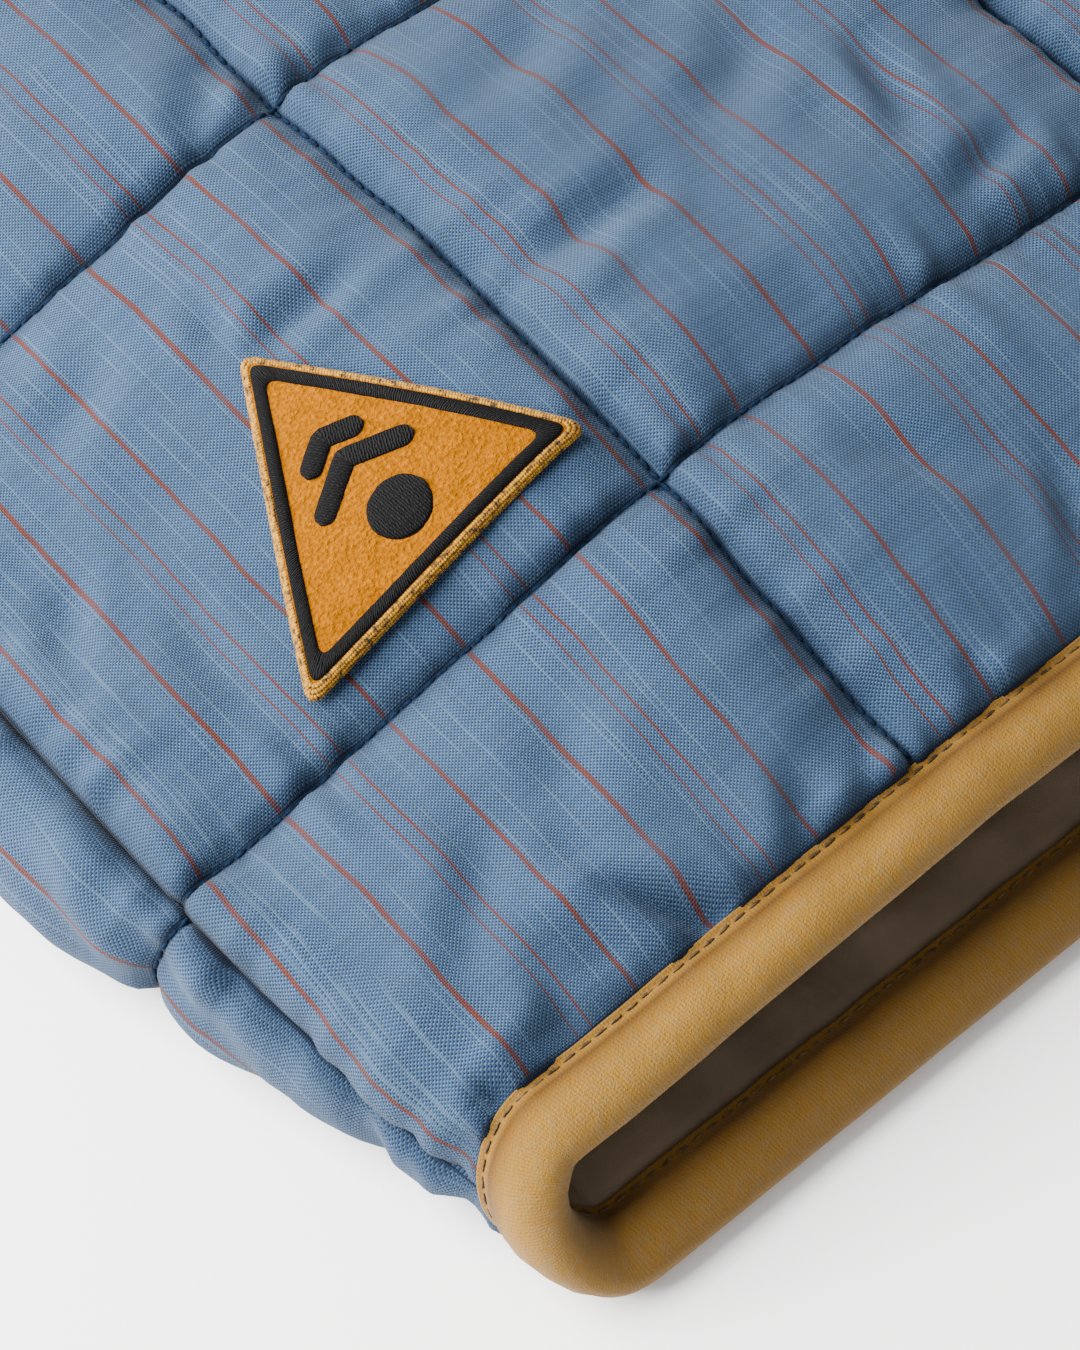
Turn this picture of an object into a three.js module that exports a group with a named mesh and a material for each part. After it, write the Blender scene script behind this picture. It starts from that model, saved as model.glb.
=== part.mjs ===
// A quilted vest with bound edges, laid flat on its back.
// Millimetres. +Z is up, the hem lies towards -Y, and the wearer's right side is at -X.
//
// Each half of the vest is one piece of cloth coordinates: `c` runs from the side seam towards the
// centre front (below zero it runs round the side fold onto the back), and `y` runs up the cloth.
import * as THREE from "three";

const { clamp, lerp, smoothstep } = THREE.MathUtils;

// Plan of the laid garment
const SIDE_X = 263; // centre line to the side fold
const HEM_SIDE_X = 247; // the same at the hem, where the side draws in
const SIDE_TAPER = 85; // height over which it draws in
const SEAM_X = 254; // side seam, just on the front
const HEM_FRONT_Y = -303;
const HEM_BACK_Y = -316.1; // the back hangs lower than the front
const FRONT_EDGE_X = 11.8; // raw centre front edge inside its binding

// Side fold and shoulder fold
const FOLD_REACH = 12;
const FOLD_LENGTH = 38;
const SIDE_HEIGHT = 24;
const SHOULDER_RADIUS = 12;
const SHOULDER_CLOTH = (SHOULDER_RADIUS * Math.PI) / 2;

// Shoulder, neck and armhole
const SHOULDER_Y = 325; // neck end of the shoulder fold
const SHOULDER_SLOPE = 0.33;
const NECK_HALF = 85;
const FRONT_NECK_DEPTH = 102;
const BACK_NECK_DEPTH = 29;
const ARMHOLE_Y = 70; // lowest point of the armhole
const ARMHOLE_RISE = 100; // from there up to its deepest point
const ARMHOLE_FRONT_X = 194;
const ARMHOLE_BACK_X = 196;
const ARMHOLE_FLARE = 11; // how far it runs out again up to the shoulder

// Swell of the front over the hollow body
const SWELL = 21;
const SWELL_ALONG = [
  { y: -316, lift: 0.3 },
  { y: -302, lift: 0.34 },
  { y: -250, lift: 1 },
  { y: -160, lift: 1 },
  { y: 0, lift: 0.75 },
  { y: 100, lift: 0.5 },
  { y: 240, lift: 0.1 },
  { y: 300, lift: 0 },
];

// Quilting
const QUILT_FIRST_Y = -253;
const QUILT_PITCH = 82.8;
const QUILT_ROWS = 7;
const QUILT_BACK_SHIFT = -2;
const CHANNEL_1_X = 171;
const CHANNEL_2_X = 77;
const PUFF = 3.2; // how far the wadding swells above the stitched lines
const PUFF_RUN = 26; // distance from a stitched line to full height
const DITCH_ROW = 5.5; // rows of points beside each stitched line
const LAST_QUILT_Y = QUILT_FIRST_Y + (QUILT_ROWS - 1) * QUILT_PITCH;

// Layers
const WALL = 4; // quilted wall at a stitched line
const WALL_UNDER = 6; // on the flat underside
const LINING = 1.2;
const LINING_GAP = 0.5; // between the wadding and the lining
const SEAM_TRIM = 0.2; // each quilted panel stops this far short of the seam line
const LINING_TRIM = 0.35;
const TAPE_GAP = 0.5; // between a raw edge and the tape round it
const BIND_WIDTH = 10.7;
const BIND_LIP = 1;

// Patch, as its three corners in plan, and its layers
const PATCH_CORNERS = [
  { x: -199.5, y: -202 },
  { x: -224, y: -246 },
  { x: -175, y: -243 },
];
const PATCH_CORNER_RADIUS = 3;
const PATCH_THICK = 1.8;
const PATCH_LIFT = 0.6;
const PATCH_RINGS = [1, 0.65, 0.3];

const CLOTH = new THREE.MeshStandardMaterial({ color: 0x6488b0, roughness: 0.9 });
const TAPE = new THREE.MeshStandardMaterial({ color: 0xb89552, roughness: 0.85 });
const LINING_CLOTH = new THREE.MeshStandardMaterial({ color: 0x65543b, roughness: 0.6 });
const FELT = new THREE.MeshStandardMaterial({ color: 0xf3a01c, roughness: 0.95 });

// ---- the cloth's place -----------------------------------------------------------------------

// A smooth curve through the rows of a table.
function along(table, y, key) {
  const last = table.length - 1;
  if (y <= table[0].y) return table[0][key];
  if (y >= table[last].y) return table[last][key];
  const i = table.findIndex((row) => row.y > y) - 1;
  const slope = (k) =>
    k <= 0 || k >= last
      ? 0
      : (table[k + 1][key] - table[k - 1][key]) / (table[k + 1].y - table[k - 1].y);
  const span = table[i + 1].y - table[i].y;
  const t = (y - table[i].y) / span;
  const rest = 1 - t;
  return (
    table[i][key] * (1 + 2 * t) * rest * rest +
    table[i + 1][key] * t * t * (3 - 2 * t) +
    slope(i) * span * t * rest * rest -
    slope(i + 1) * span * t * t * rest
  );
}

// Distance from the centre line at which the flat underside ends and the side fold begins.
const foldStart = (y) =>
  lerp(HEM_SIDE_X, SIDE_X, smoothstep(y, HEM_BACK_Y, HEM_BACK_Y + SIDE_TAPER)) - FOLD_REACH;

// Height of the front's stitched level, x out from the centre line.
function frontHeight(x, y) {
  const rise = smoothstep(SIDE_X - x, 10, 105);
  const centre = 1 - 0.4 * smoothstep(165 - x, 0, 120);
  return SIDE_HEIGHT + SWELL * rise * centre * along(SWELL_ALONG, y, "lift");
}

const shoulderDrop = (x) => SHOULDER_SLOPE * Math.max(0, x - NECK_HALF);
const shoulderBend = (x) => SHOULDER_Y - SHOULDER_RADIUS - shoulderDrop(x);
const shoulderTop = (x) => shoulderBend(x) + SHOULDER_CLOTH;

// The stitched level of the cloth's outer face.
function place(c, y) {
  const flat = foldStart(y);
  const top = SEAM_X - flat;
  if (c < top && c > top - FOLD_LENGTH) {
    const angle = Math.PI * (1 - (top - c) / FOLD_LENGTH);
    const rise = frontHeight(flat, y) / 2;
    return new THREE.Vector3(
      -flat - FOLD_REACH * Math.sin(angle),
      y,
      rise * (1 - Math.cos(angle)),
    );
  }
  const isFront = c >= top;
  const x = isFront ? SEAM_X - c : flat - (top - FOLD_LENGTH - c);
  const level = isFront ? frontHeight(x, y) : 0;
  const bend = Math.max(0, y - shoulderBend(x)) / SHOULDER_RADIUS;
  const shift = SHOULDER_RADIUS * (1 - Math.cos(bend));
  return new THREE.Vector3(
    -x,
    Math.min(y, shoulderBend(x)) + SHOULDER_RADIUS * Math.sin(bend),
    isFront ? level - shift : level + shift,
  );
}

function outward(c, y) {
  const step = 0.4;
  const across = place(c + step, y).sub(place(c - step, y));
  const up = place(c, y + step).sub(place(c, y - step));
  return across.cross(up).normalize();
}

// How far round the fold a point is: 0 on the underside, 1 on the front.
const roundFold = (c, y) => clamp(1 - (SEAM_X - foldStart(y) - c) / FOLD_LENGTH, 0, 1);
const wallAt = (c, y) => lerp(WALL_UNDER, WALL, smoothstep(roundFold(c, y), 0, 1));

// A point on the cloth, raised `height` above the stitched level.
const onCloth = (c, y, height) => place(c, y).addScaledVector(outward(c, y), height);

// ---- edges in cloth coordinates --------------------------------------------------------------

const hemY = (c) => lerp(HEM_FRONT_Y, HEM_BACK_Y, smoothstep(16 - c, 0, FOLD_LENGTH));

const arc = (t) => Math.sqrt(Math.max(0, 1 - t * t));

// The armhole's edge: x out from the centre on the front, and c on the back.
function armholeFrontX(y) {
  const t = (y - ARMHOLE_Y) / ARMHOLE_RISE;
  if (t <= 0) return SEAM_X;
  if (t < 1) return lerp(SEAM_X, ARMHOLE_FRONT_X, arc(1 - t));
  return ARMHOLE_FRONT_X + ARMHOLE_FLARE * ((t - 1) / 1.25) ** 2;
}
function armholeBackC(y) {
  const t = (y - ARMHOLE_Y) / ARMHOLE_RISE;
  const deepest = SEAM_X - 2 * foldStart(y) - FOLD_LENGTH + ARMHOLE_BACK_X;
  if (t <= 0) return 0;
  if (t < 1) return deepest * arc(1 - t);
  return deepest + ARMHOLE_FLARE * 0.8 * ((t - 1) / 1.25) ** 2;
}

const neckTop = shoulderTop(NECK_HALF);
const frontNeckX = (y) => NECK_HALF * arc(clamp((neckTop - y) / FRONT_NECK_DEPTH, 0, 1));
const backNeckY = (x) => neckTop - BACK_NECK_DEPTH * arc(clamp(x / NECK_HALF, 0, 1));

// ---- quilting --------------------------------------------------------------------------------

// Swell at distance d from a stitched line or a bound edge.
const swell = (d) => 1 - (1 - clamp(d, 0, PUFF_RUN) / PUFF_RUN) ** 2.6;

function quiltRowGap(y, shift) {
  const k = Math.round((y - shift - QUILT_FIRST_Y) / QUILT_PITCH);
  return Math.abs(y - shift - QUILT_FIRST_Y - clamp(k, 0, QUILT_ROWS - 1) * QUILT_PITCH);
}

// Distance to the armhole's and neck's curves on the front.
function frontCurveGap(x, y) {
  const up = Math.min(0, (y - ARMHOLE_Y) / ARMHOLE_RISE - 1);
  const side = (SEAM_X - x) / (SEAM_X - ARMHOLE_FRONT_X);
  const arm = y > ARMHOLE_Y + ARMHOLE_RISE ? armholeFrontX(y) - x : (Math.hypot(up, side) - 1) * 75;
  const neck = (Math.hypot(x / NECK_HALF, (neckTop - y) / FRONT_NECK_DEPTH) - 1) * NECK_HALF;
  return Math.max(0, Math.min(arm, neck));
}

function frontPuff(c, y) {
  const x = SEAM_X - c;
  const upright = [SEAM_X, CHANNEL_1_X, CHANNEL_2_X, FRONT_EDGE_X].map((line) => Math.abs(x - line));
  const level = Math.min(quiltRowGap(y, 0), y - hemY(c), shoulderTop(x) - y);
  return PUFF * swell(Math.min(...upright)) * swell(level) * swell(frontCurveGap(x, y));
}

// The back swells only round the side fold: its underside lies flat.
function backPuff(c, y) {
  const level = Math.min(quiltRowGap(y, QUILT_BACK_SHIFT), y - hemY(c));
  const under = smoothstep(roundFold(c, y), 0, 0.42);
  const edge = swell(armholeBackC(y) - c);
  return PUFF * swell(-c) * swell(level) * under * edge;
}

// ---- rows and columns ------------------------------------------------------------------------

// Rows above the foot of a curved edge. The back's armhole crosses the side fold, so it has more.
const FRONT_CURVE_STEPS = [0, 1.3, 5, 13];
const BACK_CURVE_STEPS = [0, 0.5, 1.8, 4.3, 8, 15];
const ARMHOLE_STEPS = [28, 50, 75, 100];
const PLAIN_LINES = [0, 2]; // stitched lines that the plain inner face has a row on

// Row heights: each has a function of x, and says whether the plain inner face uses it too.
function quiltRows(shift, curveRows, steps) {
  const rows = curveRows.map((y) => ({ y, plain: true }));
  const add = (y, plain) => rows.push({ y, plain });
  for (let k = 0; k < QUILT_ROWS; k++) {
    const line = QUILT_FIRST_Y + shift + k * QUILT_PITCH;
    if (k) add(line - DITCH_ROW, false);
    add(line, PLAIN_LINES.includes(k));
    add(line + DITCH_ROW, k === QUILT_ROWS - 1);
    if (k < QUILT_ROWS - 1) for (const step of steps) add(line + QUILT_PITCH * step, false);
  }
  rows.sort((a, b) => a.y - b.y);
  const isClear = (row, i) => rows.every((other, k) => k === i || Math.abs(other.y - row.y) > 2);
  return rows.filter((row, i) => row.plain || isClear(row, i));
}

// Each row as a function that gives y at a distance x from the centre.
function rowFunctions(shift, curveRows, steps, topLine) {
  const first = QUILT_FIRST_Y + shift - DITCH_ROW;
  const level = LAST_QUILT_Y + shift + DITCH_ROW;
  const hemRows = [
    { step: 0, plain: true },
    { step: 0.12, plain: false },
    { step: 0.4, plain: true },
    { step: 0.75, plain: true },
    { step: 1, plain: true },
  ].map(({ step, plain }) => ({ plain, at: (x, c) => lerp(hemY(c), first, step) }));
  const middle = quiltRows(shift, curveRows, steps).map(({ y, plain }) => ({ plain, at: () => y }));
  const upper = [
    { step: 0.35, plain: true },
    { step: 0.7, plain: true },
    { step: 1, plain: true },
  ].map(({ step, plain }) => ({
    plain,
    at: (x) => lerp(level, topLine(x) - SHOULDER_CLOTH, step),
  }));
  const bend = [0.75, 0.5, 0.25, 0].map((part) => ({
    plain: part !== 0.25 && part !== 0.75,
    at: (x) => topLine(x) - part * SHOULDER_CLOTH,
  }));
  return [...hemRows, ...middle, ...upper, ...bend];
}

// Moves a value through pairs of anchors.
function through(from, to, value) {
  let i = 0;
  while (i < from.length - 2 && value > from[i + 1]) i++;
  return lerp(to[i], to[i + 1], (value - from[i]) / (from[i + 1] - from[i]));
}

// Solves x = edge(y) on a row whose height varies with x.
function meet(row, edge, c) {
  let x = edge(row.at(NECK_HALF, c));
  for (let k = 0; k < 8; k++) x = edge(row.at(x, c));
  return x;
}

// A row that only the outer face has ends on the straight line between its plain neighbours' ends.
function straighten(rows, ends) {
  const heights = rows.map((row) => row.at(NECK_HALF, -SEAM_X));
  return ends.map((end, r) => {
    if (rows[r].plain) return end;
    let [below, above] = [r - 1, r + 1];
    while (!rows[below].plain) below--;
    while (!rows[above].plain) above++;
    const part = (heights[r] - heights[below]) / (heights[above] - heights[below]);
    return lerp(ends[below], ends[above], part);
  });
}

const FRONT_COLUMNS = [
  { c: 0, plain: true },
  { c: 5, plain: true },
  { c: 11, plain: true },
  { c: 19, plain: true },
  { c: 41, plain: true },
  { c: 66, plain: false },
  { c: 78, plain: false },
  { c: 83, plain: true },
  { c: 88, plain: false },
  { c: 101, plain: false },
  { c: 130, plain: true },
  { c: 159, plain: false },
  { c: 172, plain: false },
  { c: 177, plain: true },
  { c: 182, plain: false },
  { c: 197, plain: false },
  { c: 216, plain: false },
  { c: 236, plain: false },
  { c: SEAM_X - FRONT_EDGE_X, plain: true },
];

// The front's cloth coordinates, row by row.
function frontGrid(trim) {
  const neckFoot = neckTop - FRONT_NECK_DEPTH + 1;
  const curveRows = [
    ...FRONT_CURVE_STEPS.flatMap((step) => [ARMHOLE_Y + step, neckFoot + step]),
    ...ARMHOLE_STEPS.map((step) => ARMHOLE_Y + step),
  ];
  const rows = rowFunctions(0, curveRows, [0.3, 0.7], shoulderTop);
  const sides = straighten(rows, rows.map((row) => meet(row, armholeFrontX, 0)));
  const necks = straighten(
    rows,
    rows.map((row) => Math.max(FRONT_EDGE_X, meet(row, frontNeckX, 60))),
  );
  return rows.map((row, r) => {
    const channel = Math.max(CHANNEL_2_X, lerp(CHANNEL_1_X, necks[r], 0.72));
    const from = [0, SEAM_X - CHANNEL_1_X, SEAM_X - CHANNEL_2_X, SEAM_X - FRONT_EDGE_X];
    const to = [SEAM_X - sides[r] + trim, from[1], SEAM_X - channel, SEAM_X - necks[r]];
    const points = FRONT_COLUMNS.map((column) => {
      const c = through(from, to, column.c);
      const y = row.at(SEAM_X - c, c) - (r === rows.length - 1 ? trim : 0);
      return { c, y, plain: column.plain };
    });
    return { points: points.reverse(), plain: row.plain };
  });
}

// Half of the back's columns: parts of the way round the fold, then distances from the centre.
const FOLD_COLUMNS = [0, 0.2, 0.4, 0.6, 0.8, 1];
const NECK_COLUMNS = [
  { x: 70, atNeck: 83.5 },
  { x: 55, atNeck: 78 },
  { x: 38, atNeck: 64 },
  { x: 19, atNeck: 35 },
  { x: 0, atNeck: 0 },
];

// Cloth coordinate on the underside at a distance x from the centre line, and the other way round.
const underC = (x, y) => SEAM_X - FOLD_LENGTH - 2 * foldStart(y) + x;
const underX = (c, y) => clamp(c - underC(0, y), 0, foldStart(y));

const backTop = (x) => (x < NECK_HALF ? backNeckY(x) : shoulderTop(x));

// Half of the back's cloth coordinates, row by row, from the side seam to the centre line.
function backGrid(trim) {
  const curveRows = [...BACK_CURVE_STEPS, ...ARMHOLE_STEPS].map((step) => ARMHOLE_Y + step);
  const rows = rowFunctions(QUILT_BACK_SHIFT, curveRows, [0.5], backTop);
  const at = (row, c) => row.at(underX(c, row.at(NECK_HALF, c)), c);
  const exact = rows.map((row) => {
    let edge = 0;
    for (let k = 0; k < 8; k++) edge = armholeBackC(at(row, edge));
    return edge;
  });
  const edges = straighten(rows, exact);
  const neckEnd = backNeckY(0) - SHOULDER_CLOTH;
  return rows.map((row, r) => {
    const under = (x) => underC(x, row.at(x, -SEAM_X));
    const foldEnd = under(foldStart(row.at(SIDE_X, -SEAM_X)));
    const base = [...FOLD_COLUMNS.map((part) => part * foldEnd), under(NECK_HALF)];
    const cs = base.map((c) => lerp(edges[r] - trim, under(NECK_HALF), c / under(NECK_HALF)));
    const nearNeck = smoothstep(row.at(0, -SEAM_X), LAST_QUILT_Y, neckEnd);
    for (const { x, atNeck } of NECK_COLUMNS) cs.push(under(lerp(x, atNeck, nearNeck)));
    const last = r === rows.length - 1 ? trim : 0;
    return { points: cs.map((c) => ({ c, y: at(row, c) - last, plain: true })), plain: row.plain };
  });
}

// ---- solids ----------------------------------------------------------------------------------

function solid(triangles) {
  let volume = 0;
  for (const [a, b, c] of triangles) volume += a.dot(b.clone().cross(c));
  const points = triangles.flatMap(([a, b, c]) => (volume > 0 ? [a, b, c] : [a, c, b]));
  return new THREE.BufferGeometry().setFromPoints(points);
}

function gridFaces(grid, flip) {
  const faces = [];
  for (let r = 0; r + 1 < grid.length; r++)
    for (let k = 0; k + 1 < grid[r].length; k++) {
      const [a, b, c, d] = [grid[r][k], grid[r][k + 1], grid[r + 1][k + 1], grid[r + 1][k]];
      faces.push(flip ? [a, c, b] : [a, b, c], flip ? [a, d, c] : [a, c, d]);
    }
  return faces;
}

// Closes the rim between two edges that run side by side and have their own numbers of points.
function rimFaces(outer, inner) {
  const reach = (line) => {
    const sums = [0];
    for (let k = 1; k < line.length; k++) sums.push(sums[k - 1] + line[k].distanceTo(line[k - 1]));
    return sums.map((s) => s / sums[line.length - 1]);
  };
  const [far, near] = [reach(outer), reach(inner)];
  const faces = [];
  let [i, j] = [0, 0];
  while (i + 1 < outer.length || j + 1 < inner.length) {
    const inStep = outer.length === inner.length ? i === j : far[i + 1] <= near[j + 1];
    const stepOuter = j + 1 === inner.length || (i + 1 < outer.length && inStep);
    if (stepOuter) faces.push([outer[i + 1], outer[i], inner[j]]);
    else faces.push([outer[i], inner[j], inner[j + 1]]);
    if (stepOuter) i++;
    else j++;
  }
  return faces;
}

// The edges of a grid in order: its foot, its last column, its top and its first column.
function edgesOf(grid) {
  const end = grid[0].length - 1;
  return [
    grid[0],
    grid.map((row) => row[end]),
    [...grid[grid.length - 1]].reverse(),
    grid.map((row) => row[0]).reverse(),
  ];
}

// Faces of a wall between an outer and an inner grid of points, with a rim along the edges given.
function wallFaces(outer, inner, edges) {
  const inside = edgesOf(inner);
  const outside = edgesOf(outer);
  const rims = edges.flatMap((k) => rimFaces(outside[k], inside[k]));
  return [...gridFaces(outer, false), ...gridFaces(inner, true), ...rims];
}
const ALL_EDGES = [0, 1, 2, 3];
const ALL_BUT_CENTRE = [0, 2, 3];

const mirrored = (point) => new THREE.Vector3(-point.x, point.y, point.z);

const plainOf = (grid) =>
  grid.filter((row) => row.plain).map(({ points }) => points.filter((p) => p.plain));

// Points of a grid at a height above the stitched level.
const clothPoints = (rows, height) => rows.map((row) => row.map((p) => onCloth(p.c, p.y, height(p))));

const allRows = (grid) => grid.map(({ points }) => points);
const underWall = (extra) => (p) => -wallAt(p.c, p.y) - extra;

// Faces of a tube through `rings`, each a list of points. `isCrossed` splits each four-sided face
// along its other diagonal.
function tubeFaces(rings, isCrossed = false) {
  const faces = [];
  for (let k = 0; k + 1 < rings.length; k++)
    rings[k].forEach((point, s) => {
      const t = (s + 1) % rings[k].length;
      const next = rings[k + 1];
      if (isCrossed) faces.push([point, rings[k][t], next[s]], [rings[k][t], next[t], next[s]]);
      else faces.push([point, rings[k][t], next[t]], [point, next[t], next[s]]);
    });
  return faces;
}

function capFaces(ring, turned) {
  const faces = [];
  for (let s = 1; s + 1 < ring.length; s++)
    faces.push(turned ? [ring[0], ring[s + 1], ring[s]] : [ring[0], ring[s], ring[s + 1]]);
  return faces;
}

const mirroredFaces = (faces) => faces.map((face) => face.map(mirrored).reverse());

// Rolled edge tape: flat where it meets the raw edge, round outside. `depth` runs off the edge
// and `level` through the wall, both as parts of the tape's own width and thickness.
const TAPE_SECTION = [
  { depth: 0, level: 1 },
  { depth: 0.45, level: 1 },
  { depth: 0.85, level: 0.8 },
  { depth: 1, level: 0.5 },
  { depth: 0.85, level: 0.2 },
  { depth: 0.45, level: 0 },
  { depth: 0, level: 0 },
];

// Rings of tape along a line of cloth points. `turn` is 1 where the cloth is on the line's right
// and -1 on its left. A mirrored line ends on the centre line and goes on as its own image, and a
// square one starts at a right angle to the centre line.
function tapeRings(line, turn, { isLoop = false, isMirrored = false, isSquare = false } = {}) {
  const spots = line.map(({ c, y }) => place(c, y));
  const beside = (k) => {
    if (isLoop) return spots[(k + spots.length) % spots.length];
    if (isMirrored && k === spots.length) return mirrored(spots[k - 2]);
    return spots[clamp(k, 0, spots.length - 1)];
  };
  return line.map(({ c, y }, k) => {
    const tangent = beside(k + 1).clone().sub(beside(k - 1)).normalize();
    if (isSquare && k === 0) tangent.set(Math.sign(tangent.x), 0, 0);
    const normal = outward(c, y);
    const off = tangent.clone().cross(normal).normalize().multiplyScalar(turn);
    const lip = BIND_LIP * smoothstep(roundFold(c, y), 0.05, 0.5);
    const low = -wallAt(c, y) - LINING - LINING_GAP - BIND_LIP * 0.8;
    return TAPE_SECTION.map(({ depth, level }) =>
      spots[k]
        .clone()
        .addScaledVector(off, TAPE_GAP + depth * (BIND_WIDTH - TAPE_GAP))
        .addScaledVector(normal, lerp(low, lip, level)),
    );
  });
}

// ---- the pieces ------------------------------------------------------------------------------

const part = new THREE.Group();
const addPiece = (name, geometry, material) => {
  const mesh = new THREE.Mesh(geometry, material);
  mesh.name = name;
  part.add(mesh);
};

// A piece that crosses the centre line, from the faces of its right half, and a pair of pieces.
const addWhole = (name, faces, material) =>
  addPiece(name, solid([...faces, ...mirroredFaces(faces)]), material);
function addPair(name, faces, material) {
  addPiece(`${name}_right`, solid(faces), material);
  addPiece(`${name}_left`, solid(mirroredFaces(faces)), material);
}

const EDGE_C = SEAM_X - FRONT_EDGE_X;

function addFronts() {
  const panel = frontGrid(SEAM_TRIM);
  const lining = plainOf(frontGrid(LINING_TRIM));
  const outer = clothPoints(allRows(panel), (p) => frontPuff(p.c, p.y));
  const inner = clothPoints(plainOf(panel), underWall(0));
  const liningOut = clothPoints(lining, underWall(LINING_GAP));
  const liningIn = clothPoints(lining, underWall(LINING_GAP + LINING));
  addPair("front", wallFaces(outer, inner, ALL_EDGES), CLOTH);
  addPair("lining_front", wallFaces(liningOut, liningIn, ALL_EDGES), LINING_CLOTH);
}

function addBack() {
  const panel = backGrid(SEAM_TRIM);
  const lining = plainOf(backGrid(LINING_TRIM));
  const outer = clothPoints(allRows(panel), (p) => backPuff(p.c, p.y));
  const inner = clothPoints(plainOf(panel), underWall(0));
  const liningOut = clothPoints(lining, underWall(LINING_GAP));
  const liningIn = clothPoints(lining, underWall(LINING_GAP + LINING));
  addWhole("back", wallFaces(outer, inner, ALL_BUT_CENTRE), CLOTH);
  addWhole("lining_back", wallFaces(liningOut, liningIn, ALL_BUT_CENTRE), LINING_CLOTH);
}

// The plain rows' points up one side of a grid.
const climb = (grid, column) =>
  grid.filter((row) => row.plain).map(({ points }) => points[column]);

function addHemBinding() {
  const front = frontGrid(0)[0].points;
  const back = backGrid(0)[0].points.slice(1);
  const rings = tapeRings([...front, ...back], -1, { isMirrored: true });
  addWhole("hem_binding", [...tubeFaces(rings), ...capFaces(rings[0], true)], TAPE);
}

function addNeckBinding() {
  const isNeck = ({ c }) => c < EDGE_C - 0.5;
  const front = climb(frontGrid(0), 0).filter(isNeck);
  const back = backGrid(0);
  const top = back[back.length - 1].points.slice(-NECK_COLUMNS.length);
  const start = { c: EDGE_C - 0.7, y: neckTop - FRONT_NECK_DEPTH + 1 };
  const rings = tapeRings([start, ...front, ...top], 1, { isMirrored: true, isSquare: true });
  addWhole("neck_binding", [...tubeFaces(rings, true), ...capFaces(rings[0], true)], TAPE);
}

function addArmholeBindings() {
  const isArmhole = (p) => p.y > ARMHOLE_Y + 0.2;
  const front = climb(frontGrid(0), FRONT_COLUMNS.length - 1).filter(isArmhole);
  const back = climb(backGrid(0), 0).filter(isArmhole).reverse().slice(1);
  const rings = tapeRings([{ c: 0, y: ARMHOLE_Y }, ...front, ...back], -1, { isLoop: true });
  addPair("armhole_binding", tubeFaces([...rings, rings[0]]), TAPE);
}

function addFrontBindings() {
  const isEdge = ({ c }) => c > EDGE_C - 0.5;
  const edge = climb(frontGrid(0), 0).filter(isEdge);
  const foot = { c: EDGE_C, y: HEM_FRONT_Y - BIND_WIDTH };
  const top = { c: EDGE_C, y: neckTop - FRONT_NECK_DEPTH + BIND_WIDTH };
  const rings = tapeRings([foot, ...edge, top], 1);
  const caps = [...capFaces(rings[0], true), ...capFaces(rings[rings.length - 1], false)];
  addPair("front_binding", [...tubeFaces(rings), ...caps], TAPE);
}

// A triangle with rounded corners, as points round its outline.
function patchOutline() {
  const corners = PATCH_CORNERS.map(({ x, y }) => new THREE.Vector2(x, y));
  const outline = [];
  corners.forEach((corner, k) => {
    const before = corners[(k + 2) % 3].clone().sub(corner).normalize();
    const after = corners[(k + 1) % 3].clone().sub(corner).normalize();
    const start = corner.clone().addScaledVector(before, PATCH_CORNER_RADIUS);
    const end = corner.clone().addScaledVector(after, PATCH_CORNER_RADIUS);
    outline.push(...new THREE.QuadraticBezierCurve(start, corner, end).getPoints(3));
    const next = corners[(k + 1) % 3].clone().addScaledVector(after, -PATCH_CORNER_RADIUS);
    for (let s = 1; s < 6; s++) outline.push(end.clone().lerp(next, s / 6));
  });
  return outline;
}

function addPatch() {
  const outline = patchOutline();
  const centre = outline.reduce((sum, p) => sum.add(p), new THREE.Vector2()).divideScalar(outline.length);
  const sheet = (lift) =>
    PATCH_RINGS.map((part) =>
      outline.map((p) => {
        const spot = centre.clone().lerp(p, part);
        const c = SEAM_X + spot.x;
        return onCloth(c, spot.y, frontPuff(c, spot.y) + lift);
      }),
    );
  const middle = (lift) => {
    const c = SEAM_X + centre.x;
    return onCloth(c, centre.y, frontPuff(c, centre.y) + lift);
  };
  const faces = [];
  const count = outline.length;
  const cover = (lift, flip) => {
    const rings = sheet(lift);
    const pole = middle(lift);
    const face = (a, b, c) => faces.push(flip ? [a, c, b] : [a, b, c]);
    for (let s = 0; s < count; s++) {
      const t = (s + 1) % count;
      for (let k = 0; k + 1 < rings.length; k++) {
        face(rings[k][s], rings[k][t], rings[k + 1][t]);
        face(rings[k][s], rings[k + 1][t], rings[k + 1][s]);
      }
      face(rings[rings.length - 1][s], rings[rings.length - 1][t], pole);
    }
    return rings[0];
  };
  const upper = cover(PATCH_LIFT + PATCH_THICK, false);
  const lower = cover(PATCH_LIFT, true);
  for (let s = 0; s < count; s++) {
    const t = (s + 1) % count;
    faces.push([upper[s], lower[s], lower[t]], [upper[s], lower[t], upper[t]]);
  }
  addPiece("patch", solid(faces), FELT);
}

addBack();
addFronts();
addHemBinding();
addNeckBinding();
addArmholeBindings();
addFrontBindings();
addPatch();

export default part;
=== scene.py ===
"""A quilted chambray vest with rolled edge tape, laid flat on its back.

Lengths on the cloth are in millimetres and become metres where a mesh is made. Each half of the vest
has cloth coordinates: c runs from the side seam towards the centre front, and below zero round the
side fold onto the back; y runs up the cloth.
"""

import math

import bpy
import numpy as np
from mathutils import Matrix, Vector


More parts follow.
